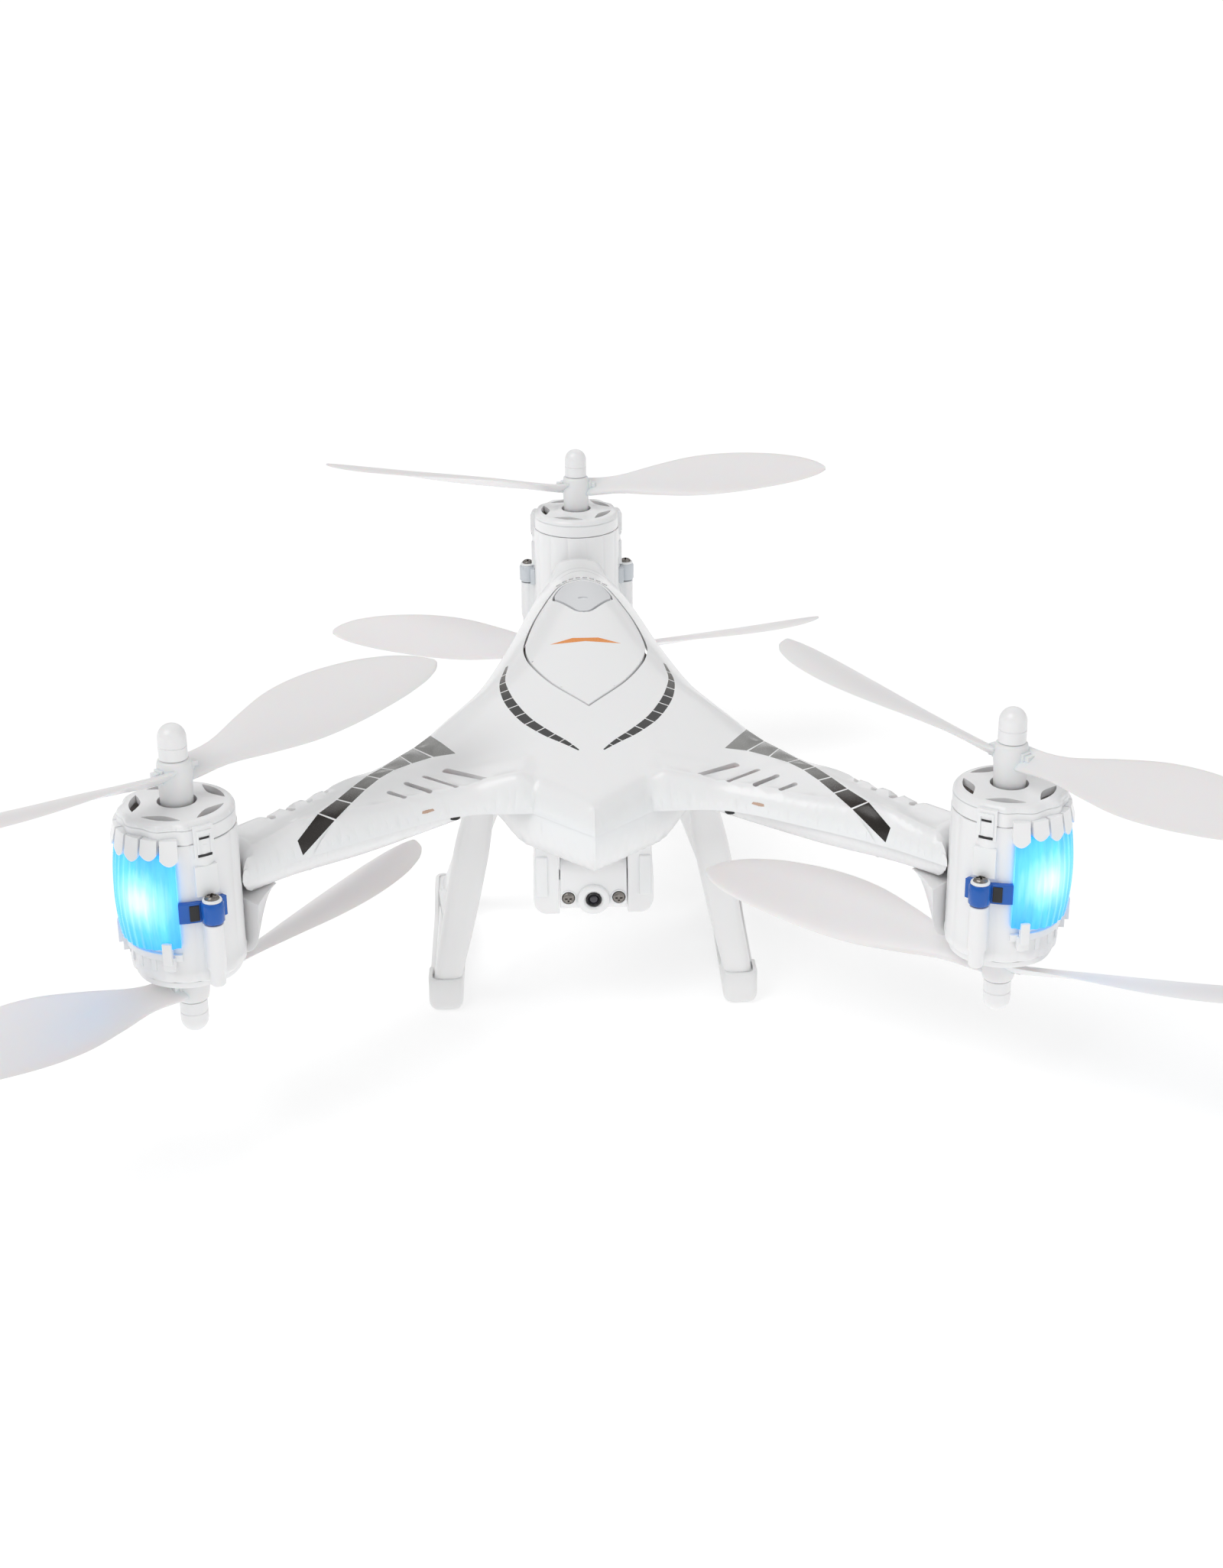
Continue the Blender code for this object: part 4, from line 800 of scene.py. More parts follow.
def skin(outline, top, bottom, spacing, rings, holes=(), prints=()):
    """Closed plate between two height functions, with holes and with printed areas set into its faces."""
    loops = [outline] + list(holes) + [loop for loop, _ in prints]
    extra = fill_points(outline, spacing, rings)
    for loop in loops[1:]:
        pts = np.array(loop)
        low, high = pts.min(0) - spacing, pts.max(0) + spacing
        near = ((extra > low) & (extra < high)).all(1)
        close = np.zeros(len(extra), dtype=bool)
        if near.any():
            close[near] = edge_distance(extra[near], loop) < spacing * 0.25
        extra = extra[~close]
    flat, edges = [], []
    for loop in loops:
        first = len(flat)
        flat += [Vector((float(x), float(y))) for x, y in loop]
        edges += [(first + i, first + (i + 1) % len(loop)) for i in range(len(loop))]
    flat += [Vector(p) for p in extra.tolist()]
    verts, _, faces = delaunay_2d_cdt(flat, edges, [], 1, 1e-7)[:3]
    points = np.array([tuple(v) for v in verts])
    corners = [list(face) for face in faces]
    middles = np.array([points[face].mean(0) for face in corners])
    keep = np.ones(len(corners), dtype=bool)
    marks = np.zeros(len(corners), dtype=int)
    for loop in holes:
        keep &= ~inside(middles, loop)
    for loop, mark in prints:
        marks[inside(middles, loop)] = mark
    highs = top(points)
    lows = bottom(points)
    count = len(points)
    out = [place(x, y, h) for (x, y), h in zip(points.tolist(), highs.tolist())]
    out += [place(x, y, h) for (x, y), h in zip(points.tolist(), lows.tolist())]
    made, made_marks, seen = [], [], set()
    for face, good, mark in zip(corners, keep, marks.tolist()):
        if not good:
            continue
        made.append(tuple(face))
        made.append(tuple(i + count for i in reversed(face)))
        made_marks += [mark, 0]
        seen.update(zip(face, face[1:] + face[:1]))
    for i, j in seen:
        if (j, i) not in seen:
            made.append((j, i, i + count, j + count))
            made_marks.append(0)
    used = sorted({i for face in made for i in face})
    order = {old: new for new, old in enumerate(used)}
    return [out[i] for i in used], [tuple(order[i] for i in face) for face in made], made_marks


def turned_to(form, origin, axis):
    """A form built about the local Z axis at the world origin, swung and moved into place."""
    swing = Vector((0, 0, 1)).rotation_difference(Vector(axis)).to_matrix()
    points = [tuple(swing @ Vector(p) + Vector(origin)) for p in form[0]]
    return (points,) + tuple(form[1:])


def cross_screw(radius, height, depth):
    """Pan head about the local Z axis, with a cross recess in its top; its seat is at Z 0."""
    arm, wide = radius * 0.62, radius * 0.17
    cross = [(arm, -wide), (arm, wide), (wide, wide), (wide, arm), (-wide, arm), (-wide, wide), (-arm, wide),
             (-arm, -wide), (-wide, -wide), (-wide, -arm), (wide, -arm), (wide, -wide)]
    outline = circle(0, 0, radius, 32)

    def dome(points):
        away = np.hypot(points[:, 0], points[:, 1]) / radius
        return height * (0.45 + 0.55 * np.sqrt(np.clip(1 - away ** 2, 0, 1))) - GROUND

    def seat(points):
        return np.full(len(points), -GROUND)

    def floor(points):
        return np.full(len(points), height - depth - GROUND)

    head = skin(outline, dome, seat, radius * 0.25, (radius * 0.06, radius * 0.2), [cross])
    base = skin(cross, floor, seat, radius * 0.5, ())
    return head, base


# ---- shells -----------------------------------------------------------------------------
EDGE_RINGS = (0.00012, 0.0004, 0.0009, 0.0016, 0.0025, 0.0036, 0.0048)
SWITCH_TRAVEL = 0.0030
# Screw wells under the skirts: distance along the arm and offset.
SKIRT_SCREWS = ((0.066, -0.0130), (0.112, -0.0040), (0.112, 0.0055))
# Plain orange bar on the hatch.
ACCENT_BAR = ((-0.0110, 0.0172), (0.0, 0.0160), (0.0110, 0.0172), (0.0040, 0.0186), (-0.0040, 0.0186))


def make_upper_shell():
    prints = [(loop, 2) for loop in band_segments()]
    prints += [(inset(loop, 0.00028), 1) for loop in band_segments()]
    prints += [(loop, 3) for loop in arc_segments()]
    prints += [(arch_line(0.0830, 0.0075, 0.0062, 0.0010), 4), (arch_line(0.0985, 0.0096, 0.0150, 0.0026), 4)]
    holes = [hatch_outline(MOVING_GAP / 2)] + arm_slots() + vents()
    shape = Shape(WHITE, BAND_PRINT, BLACK, ARC_PRINT, SEAM_GREY)
    shape.add(skin(UPPER, upper_surface, upper_inner, 0.0026, EDGE_RINGS, holes, prints))
    make_piece("upper_shell_fine", shape, "root", ["upper_shell"], 0.0, 50)


def switch_knob():
    """Plan corners of the knob that stands through the belly, inside its slider's flange."""
    low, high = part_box("power_switch")
    return (low.x + 0.001, low.y + 0.0015), (high.x - 0.001, high.y - 0.0015)


def make_lower_shell():
    def inner(points):
        return np.minimum(lower_surface(points) + FLOOR_WALL, SEAM - GAP)

    low, high = switch_knob()
    gap = MOVING_GAP / 2
    x0, x1 = low[0] - gap, high[0] + gap + SWITCH_TRAVEL
    y0, y1 = low[1] - gap, high[1] + gap
    slot = [(x0, y0), (x1, y0), (x1, y1), (x0, y1)]
    shape = Shape(WHITE, BLACK)
    shape.add(skin(LOWER, inner, lower_surface, 0.0030, EDGE_RINGS, [slot]))
    for side in (-1, 1):
        for along, offset in SKIRT_SCREWS:
            x, y = arm_point(along, offset, side)
            spot = float(lower_surface(np.array([[x, y]]))[0])
            for form in cross_screw(0.0016, 0.0009, 0.0006):
                shape.add(turned_to(form, place(x, y, spot + 0.0004), (0, 0, -1)), BLACK)
    make_piece("lower_shell_fine", shape, "root", ["lower_shell"], 0.0, 50)


def make_hatch():
    edge = hatch_outline(-MOVING_GAP / 2)
    opening = latch_outline(MOVING_GAP / 2)
    shape = Shape(WHITE, ACCENT)
    shape.add(skin(edge, upper_surface, lambda p: upper_surface(p) - WALL, 0.0022, (0.0003, 0.0010, 0.0020),
                   [opening], [(ACCENT_BAR, 1)]))
    make_piece("hatch_fine", shape, BODY_OF["hatch"], ["hatch"], 0.00020, 50)

    lamp_hole = [(0.0016 * x, LED_Y + 0.0009 * y) for x, y in circle(0.0, 0.0, 1.0, 20)]
    panel_shape = Shape(PANEL_GREY, LED)
    face = skin(latch_outline(-MOVING_GAP / 2), upper_surface, lambda p: upper_surface(p) - WALL - 0.0018,
                0.0016, (0.0003, 0.0009), [lamp_hole])
    panel_shape.add(face)
    panel_shape.add(skin(inset(lamp_hole, 0.00012), lambda p: upper_surface(p) - 0.00025,
                         lambda p: upper_surface(p) - 0.0030, 0.0006, (0.0002,)), LED)
    flange = skin(latch_outline(0.0010), lambda p: upper_surface(p) - WALL - 0.0010,
                  lambda p: upper_surface(p) - WALL - 0.0022, 0.0030, (0.001,))
    panel_shape.add(flange)
    make_piece("hatch_latch_fine", panel_shape, BODY_OF["hatch_latch"], ["hatch_latch"], 0.0, 50)


# ---- pods -------------------------------------------------------------------------------
FINGER_HALF_ANGLE = 0.135
WINDOW_HALF_ANGLE = 0.175


def lobes(angles, outward, count, depth, reach=radians(70)):
    """Scallops round a pod, strongest towards its lens."""
    turn = (angles - outward + pi) % (2 * pi) - pi
    near = ease((reach - np.abs(turn)) / radians(12))
    return depth * near * (0.5 + 0.5 * np.cos(turn * count))


def make_housing(name, centre, outward):
    """Ribbed pod wall with its lug posts, hooks, gusset and motor plate."""
    low, high = node_span(f"pod_housing_{name}")
    inside_wall = POD_RADIUS - WALL
    lens_low, lens_high = node_span(f"lamp_lens_{name}")

    def ribs(radii, height, angles):
        turn = (angles - outward + pi) % (2 * pi) - pi
        made = radii - 0.0003 + 0.0004 * np.abs(np.cos(angles * 7.0 - outward * 7.0)) ** 0.5
        for side in (-1, 1):
            column = np.exp(-((turn - side * LUG_ANGLE) / 0.16) ** 2)
            made += 0.0009 * column
        recess = ease((LENS_HALF_ANGLE + 0.04 - np.abs(turn)) / 0.05)
        if lens_low - 0.001 < height < lens_high:
            made -= 0.0008 * recess
        return made

    heights = [low, low + 0.0006, low + 0.0030, low + 0.0034, lens_low - 0.0012, lens_low - 0.0010,
               0.5 * (lens_low + lens_high), lens_high - 0.0002, lens_high + 0.0002, high]
    profile = [(POD_RADIUS - (0.0005 if h == low else 0.0), h) for h in heights]
    profile[2] = (POD_RADIUS + 0.0002, heights[2])
    profile += [(inside_wall, high), (inside_wall, low)]
    shape = Shape(POD_WHITE, BLACK, TAN)
    shape.add(lathe(profile, centre, 168, lambda r, h, a: ribs(r, h, a) if r[0] > POD_RADIUS - 0.001 else r))
    for side in (-1, 1):
        angle = outward + side * LUG_ANGLE
        spot = lug_spot(centre, angle)
        post = ((0.0, low - 0.0002), (0.0017, low - 0.0002), (0.0021, low + 0.0003), (0.0021, low + 0.0040),
                (LUG_RADIUS, low + 0.0052), (LUG_RADIUS, STRAP_LOW - 0.0004), (0.0, STRAP_LOW - 0.0004))
        shape.add(lathe(post, spot, 28))
        # Black disc under each lug post: painted shade in the post's dimple.
        dimple_shade = ((0.0, low - 0.0004), (0.0012, low - 0.0004), (0.0012, low), (0.0, low))
        shape.add(lathe(dimple_shade, spot, 20), BLACK)
        shape.add(lathe(((0.0019, STRAP_TOP), (0.0026, STRAP_TOP), (0.0026, STRAP_TOP + 0.0005),
                         (0.0023, STRAP_TOP + 0.0008), (0.0019, STRAP_TOP + 0.0008)), spot, 28))
        shape.add(on_pod(centre, -WALL, LUG_RADIUS, angle, 0.14, low + 0.0045, STRAP_LOW - 0.0006, 4))
        shape.add(on_pod(centre, -WALL, 0.0011, angle, 0.20, STRAP_TOP + 0.0008, high - 0.0060, 6))
        hook = outward + side * radians(37)
        shape.add(on_pod(centre, -0.0004, 0.0019, hook, 0.10, lens_low - 0.0052, lens_low - 0.0012, 4))
        shape.add(on_pod(centre, 0.0010, 0.0030, hook, 0.07, lens_low - 0.0030, lens_low + 0.0032, 4))
    for k in range(5):
        spot = outward + radians(-36 + 18 * k)
        shape.add(on_pod(centre, -0.0006, 0.0004, spot, 0.05, low + 0.0034, lens_low - 0.0010, 3))
    shape.add(on_pod(centre, -0.0004, 0.0009, outward, 0.86, lens_low - 0.0028, lens_low - 0.0008, 24))
    shape.add(gusset(centre, outward))
    plate = node_span(f"motor_upper_{name}")[1] - 0.0028
    ring = ((0.0060, plate), (inside_wall, plate), (inside_wall, plate + 0.0010), (0.0060, plate + 0.0010))
    shape.add(lathe(ring, centre, 48), TAN)
    make_piece(f"pod_housing_{name}_fine", shape, "root", [f"pod_housing_{name}"], 0.00018, 35)


def lug_spot(centre, angle):
    reach = POD_RADIUS + GAP + LUG_RADIUS
    return centre[0] + reach * cos(angle), centre[1] + reach * sin(angle)


def gusset(centre, outward):
    """Curved web that carries the arm's underside down into the pod's wall."""
    toward = Vector((-cos(outward), -sin(outward)))
    across = Vector((-toward.y, toward.x))
    top = SEAM - ARM_DEPTH - 0.0004
    rings = []
    for k in range(11):
        share = k / 10
        reach = POD_RADIUS - 0.0008 + 0.0120 * share
        drop = 0.0170 * (1.0 - sin(share * pi / 2)) ** 1.15 + 0.0006
        half = 0.0074 * (1.0 - share) ** 1.2 + 0.0052
        ring = []
        for i in range(13):
            a = pi * i / 12
            spot = Vector(centre) + toward * reach + across * half * cos(a)
            ring.append(place(spot.x, spot.y, top - drop * sin(a) ** 0.5))
        rings.append(ring)
    return loft(rings)


def crescents(centre, count=5, reach=0.0124, swing=0.92):
    """Pointed crescent slots round a cover."""
    loops = []
    for i in range(count):
        start = 2 * pi * i / count + 0.22
        radii = [reach] * 13 + [reach - 0.0030 * sin(pi * k / 12) ** 0.8 for k in range(11, 0, -1)]
        angles = [start + swing * k / 12 for k in list(range(13)) + list(range(11, 0, -1))]
        loops.append([(centre[0] + r * cos(a), centre[1] + r * sin(a)) for r, a in zip(radii, angles)])
    return loops


def make_top_cover(name, centre, outward):
    """Filleted cover with a scalloped rim, fingers over the lens and a snap window on each side."""
    base = node_span(f"pod_top_cover_{name}")[0]
    fillet = 0.0018
    under = POD_TOP - fillet - 0.0004
    steps = np.arange(120) * 2 * pi / 120

    def outer(angles):
        return POD_RADIUS - 0.0002 + lobes(angles, outward, 11, 0.0009)

    rim = [(centre[0] + r * cos(a), centre[1] + r * sin(a)) for r, a in zip(outer(steps), steps)]
    holes = [circle(*centre, HUB_RADIUS + HUB_GAP, 40)] + crescents(centre)

    def top(points):
        away = np.hypot(points[:, 0] - centre[0], points[:, 1] - centre[1])
        collar = 0.0005 * ease((0.0074 - away) / 0.0006)
        return under + fillet * rounding(edge_distance(points, rim), fillet) + collar

    shape = Shape(POD_WHITE, BLACK)
    shape.add(skin(rim, top, lambda p: np.full(len(p), under - 0.0002), 0.0011,
                   (0.00008, 0.0003, 0.0007, 0.0012, 0.0018), holes))

    def wall(radii, _, angles):
        if radii[0] < POD_RADIUS - 0.001:
            return radii
        return outer(angles) + (radii[0] - POD_RADIUS)

    inside_wall = POD_RADIUS - WALL
    profile = ((POD_RADIUS, base), (POD_RADIUS, under), (inside_wall, under), (inside_wall, base))
    shape.add(lathe(profile, centre, 120, wall))
    lens_high = node_span(f"lamp_lens_{name}")[1]
    for k in range(6):
        spot = outward + radians(-45 + 18 * k)
        depth = 0.0012 + 0.0016 * cos((k - 2.5) * 1.1) ** 2

        def finger_face(_, share):
            return POD_RADIUS + 0.0027 - 0.0010 * share

        def lower_edge(angle, _, spot=spot, depth=depth):
            return lens_high - depth + 0.0016 * ((angle - spot) / FINGER_HALF_ANGLE) ** 2

        shape.add(arc_plate(centre, POD_RADIUS - 0.0004, finger_face, spot, FINGER_HALF_ANGLE, lower_edge,
                            base + 0.0020, 8))
    for side in (-1, 1):
        spot = outward + side * LUG_ANGLE
        half = WINDOW_HALF_ANGLE
        shape.add(on_pod(centre, -0.0010, 0.0009, spot, half, base - 0.0040, base + 0.0046, 8))
        for end in (-1, 1):
            jamb = spot + end * half * 0.64
            shape.add(on_pod(centre, 0.0008, 0.0013, jamb, half * 0.08, base - 0.0028, base + 0.0036, 2))
        shape.add(on_pod(centre, 0.0008, 0.0013, spot, half * 0.56, base + 0.0026, base + 0.0036, 6))
        # Black strips on each snap window: painted shade in its slits.
        shape.add(on_pod(centre, 0.0008, 0.0010, spot, half * 0.5, base + 0.0012, base + 0.0018, 6), BLACK)
        shape.add(on_pod(centre, 0.0008, 0.00105, spot, half * 0.7, base - 0.0037, base - 0.0030, 6), BLACK)
    make_piece(f"pod_top_cover_{name}_fine", shape, "root", [f"pod_top_cover_{name}"], 0.0, 40)


def make_bottom_cover(name, centre, outward):
    low, high = node_span(f"pod_bottom_cover_{name}")
    rim = POD_RADIUS - 0.0010
    hole = HUB_RADIUS + HUB_GAP
    profile = ((hole, low + 0.0003), (hole + 0.0004, low), (0.0088, low), (0.0092, low + 0.0005),
               (0.0116, low + 0.0005), (0.0120, low), (rim - 0.0010, low), (rim - 0.0003, low + 0.0003),
               (rim, low + 0.0009), (rim, high), (hole, high))
    shape = Shape(POD_WHITE, BLACK)
    shape.add(lathe(profile, centre, 96))
    # Six black patches set into the ring groove: painted shade in its openings.
    for k in range(6):
        spot = outward + pi * k / 3
        shape.add(arc_plate(centre, 0.0094, 0.0114, spot, 0.16, low + 0.0003, low + 0.0008, 5), BLACK)
    make_piece(f"pod_bottom_cover_{name}_fine", shape, "root", [f"pod_bottom_cover_{name}"], 0.0, 40)


def make_lens(name, centre, outward):
    low, high = node_span(f"lamp_lens_{name}")
    aim = outward + {"rear": 0.0, "left": 0.26, "right": -0.26}[name]
    glow = around(centre, 0.0160, aim, 0.5 * (low + high) + 0.0005)
    if name == "rear":
        stops = ((0.0, (0.9, 0.92, 0.95)), (1.0, (0.55, 0.60, 0.66)))
        look = lamp("lamp_clear", glow, stops, (0.80, 0.84, 0.88), 0.25, 0.016, 0.5)
        strap = moulded("strap_clear", (0.70, 0.74, 0.78), 0.15, 0.1)
    else:
        stops = ((0.0, (1.0, 1.0, 1.0)), (0.18, (0.90, 0.98, 1.0)), (0.36, (0.42, 0.82, 1.0)),
                 (0.62, (0.12, 0.55, 0.95)), (1.0, (0.03, 0.36, 0.82)))
        look = lamp(f"lamp_blue_{name}", glow, stops, (0.06, 0.40, 0.85), 0.85)
        strap = moulded(f"strap_blue_{name}", (0.008, 0.13, 0.56), 0.15, 0.3)
    shape = Shape(look, strap, BLACK)
    inner = POD_RADIUS + 0.00005
    wide = LENS_HALF_ANGLE + 0.02

    def outer(angle, share):
        turn = (angle - outward) / wide
        bulge = 0.0024 * sin(pi * min(1.0, max(0.0, 0.12 + 0.80 * share))) ** 0.7
        rib = 0.00016 * cos((angle - outward) * 44.0)
        return POD_RADIUS + 0.0008 + bulge * (1.0 - 0.45 * abs(turn) ** 3) + rib

    steps = [outward - wide + 2 * wide * i / 96 for i in range(97)]
    outer_rows, inner_rows = [], []
    for k in range(25):
        share = k / 24
        outer_row, inner_row = [], []
        for a in steps:
            turn = (a - outward) / wide
            bottom = low + 0.0012 * abs(turn) ** 2 + 0.0004
            height = bottom + (high - 0.0006 - bottom) * share
            r = outer(a, share)
            outer_row.append(around(centre, r, a, height))
            inner_row.append(around(centre, inner, a, height))
        outer_rows.append(outer_row)
        inner_rows.append(inner_row)
    shape.add(panel(outer_rows, inner_rows))
    for side in (-1, 1):
        near, far = wide - 0.03, LUG_ANGLE + 0.30
        band = on_pod(centre, inner - POD_RADIUS, 0.0017, outward + side * (near + far) / 2, (far - near) / 2,
                      STRAP_LOW, STRAP_TOP - 0.0004, 16)
        shape.add(band, strap)
        sleeve = ((0.0011, STRAP_LOW), (0.0026, STRAP_LOW), (0.0030, STRAP_LOW + 0.0005),
                  (0.0030, STRAP_TOP - 0.0006), (0.0026, STRAP_TOP), (0.0011, STRAP_TOP))
        shape.add(lathe(sleeve, lug_spot(centre, outward + side * LUG_ANGLE), 32), strap)
        # Black block on each strap: painted shade standing for a recess.
        middle = outward + side * (0.5 * (wide + LUG_ANGLE) - 0.01)
        recess = on_pod(centre, 0.0012, 0.0020, middle, 0.075, STRAP_LOW + 0.0006, STRAP_TOP - 0.0010, 4)
        shape.add(recess, BLACK)
    make_piece(f"lamp_lens_{name}_fine", shape, "root",
               [f"lamp_lens_{name}"], 0.00012, 40)


def make_lug_screws(name, centre, outward):
    for side, word in ((1, "a"), (-1, "b")):
        spot = lug_spot(centre, outward + side * LUG_ANGLE)
        screw = Shape(STEEL)
        seat = STRAP_TOP + 0.0003
        for form in cross_screw(SCREW_RADIUS, 0.0015, 0.0009):
            screw.add(turned_to(form, place(*spot, seat), (0, 0, 1)))
        shank = ((0.0, seat - 0.0160), (0.0010, seat - 0.0160), (0.0010, seat), (0.0, seat))
        screw.add(lathe(shank, spot, 16))
        make_piece(f"lug_screw_{name}_{word}_fine", screw, "root", [f"lug_screw_{name}_{word}"])


def make_motor(name, centre, word):
    low, high = node_span(f"motor_{word}_{name}")
    radius = MOTOR_RADIUS
    step = 0.0010
    boss = 0.0030
    can = ((0.0, low), (boss, low), (boss, low + 0.0002), (radius - step, low + 0.0002), (radius, low + step),
           (radius, high - 0.0036), (radius - 0.0002, high - 0.0034), (radius - 0.0002, high - step),
           (radius - step, high), (boss, high), (0.0, high))
    shape = Shape(CAN, BLACK, GOLD)
    shape.add(lathe(can, centre, 56))
    # Black patches round the can: painted shade in its vents.
    for k in range(3):
        spot = 2 * pi * k / 3
        for level in (low + 0.0040, high - 0.0080):
            vent_shade = arc_plate(centre, radius - 0.0010, radius + 0.00005, spot, 0.30, level, level + 0.0026, 6)
            shape.add(vent_shade, BLACK)
    shape.add(arc_plate(centre, radius - 0.0014, radius + 0.0001, 1.0, 0.1, low, low + 0.0018, 2), GOLD)
    make_piece(f"motor_{word}_{name}_fine", shape, "root", [f"motor_{word}_{name}"], 0.0, 35)


# ---- rotors -----------------------------------------------------------------------------
BLADE_SHARE = ((0.00, 0.34), (0.14, 0.36), (0.30, 0.66), (0.45, 0.92), (0.58, 1.00), (0.72, 0.95),
               (0.85, 0.78), (0.94, 0.52), (0.985, 0.26), (1.00, 0.10))


def blade(centre, root, rise, hand, turn):
    """One blade: twisted, cambered sections from inside the hub to a rounded tip."""
    reach = 0.0885
    inner = HUB_RADIUS * 0.55
    rings = []
    section = 22
    for k in range(34):
        share = 1.0 - (1.0 - k / 33) ** 1.25
        radius = inner + (reach - 0.0003 - inner) * share
        chord = 0.0250 * float(smooth_value(BLADE_SHARE, share))
        chord = max(chord, 0.0012)
        pitch = radians(32 - 20 * share ** 0.7)
        thick = 0.0016 * (1.5 - 1.05 * share)
        sweep = -0.10 * chord + 0.0040 * share ** 4
        height = root + rise * max(0.0, share - 0.05)
        ring = []
        for i in range(section):
            a = 2 * pi * i / section
            across = 0.5 * cos(a)
            camber = 0.055 * chord * (1 - (2 * across) ** 2) * ease(share * 3.0)
            up = 0.5 * thick * sin(a) * (1.0 - 0.35 * cos(a)) + float(camber)
            run = across * chord * cos(pitch) - up * sin(pitch) - sweep
            lift = across * chord * sin(pitch) + up * cos(pitch)
            x = radius * cos(turn) - hand * run * sin(turn)
            y = radius * sin(turn) + hand * run * cos(turn)
            ring.append(place(centre[0] + x, centre[1] + y, height + lift))
        rings.append(ring)
    return loft(rings)


def make_rotor(name, centre, word, turn):
    """Propeller and cap; both turn with the rotor's body."""
    upper = word == "upper"
    body = BODY_OF[f"propeller_{word}_{name}"]
    cap_low, cap_high = node_span(f"prop_cap_{word}_{name}")
    shape = Shape(BLADE_WHITE)
    if upper:
        hub_low, hub_top, root, rise = POD_TOP - 0.0015, 0.1103, 0.1062, 0.0080
        levels = (hub_low, hub_top)
    else:
        hub_low, hub_top, root, rise = POD_BOTTOM + 0.0015, 0.0403, 0.0445, 0.0105
        levels = (hub_low, hub_top)
    way = 1 if upper else -1
    start, end = levels
    profile = ((0.0013, start), (HUB_RADIUS - 0.0006, start), (HUB_RADIUS - 0.0002, start + way * 0.0005),
               (HUB_RADIUS, root - way * 0.0030), (HUB_RADIUS + 0.0003, root),
               (HUB_RADIUS, end - way * 0.0012), (HUB_RADIUS - 0.0002, end - way * 0.0004),
               (HUB_RADIUS - 0.0006, end), (0.0013, end))
    shape.add(lathe(profile, centre, 56))
    for swing in (turn, turn + pi):
        shape.add(blade(centre, root, rise, 1 if upper else -1, swing))
        for k in range(2):
            spread = 0.30 - 0.12 * k
            reach = HUB_RADIUS + 0.0010 + 0.0014 * k
            shape.add(arc_plate(centre, HUB_RADIUS - 0.0008, reach, swing, spread,
                                root - 0.0014, root + 0.0022 - 0.0004 * k, 6))
    make_piece(f"propeller_{word}_{name}_fine", shape, body, [f"propeller_{word}_{name}"], 0.0, 50)

    cap = Shape(POD_WHITE)
    base = cap_low if upper else cap_high
    length = cap_high - cap_low
    radius = 0.0038
    rows = [(0.0, base), (radius, base), (radius, base + way * 0.0032),
            (radius - 0.00018, base + way * 0.0033),
            (radius - 0.00018, base + way * 0.0035), (radius, base + way * 0.0036)]
    for k in range(12):
        swing = pi / 2 * k / 12
        rows.append((radius * cos(swing) ** 0.95, base + way * (length - radius * (1 - sin(swing)))))
    rows.append((0.0, base + way * length))
    cap.add(lathe(rows, centre, 48))
    make_piece(f"prop_cap_{word}_{name}_fine", cap, body, [f"prop_cap_{word}_{name}"], 0.0, 50)


# ---- camera -----------------------------------------------------------------------------
CAMERA_Y = -0.0445
TILT_HEIGHT = 0.0468
BLOCK_HALF_WIDTH = 0.0096
BLOCK_HALF_HEIGHT = 0.0086
LENS_HEIGHT = TILT_HEIGHT - 0.0040
FRONT = CAMERA_Y - BLOCK_HALF_HEIGHT


def bar_along_x(section, x0, x1):
    return loft([[place(x, y, h) for y, h in section] for x in (x0, x1)])


def bar_along_y(section, y0, y1):
    return loft([[place(x, y, h) for x, h in section] for y in (y0, y1)])


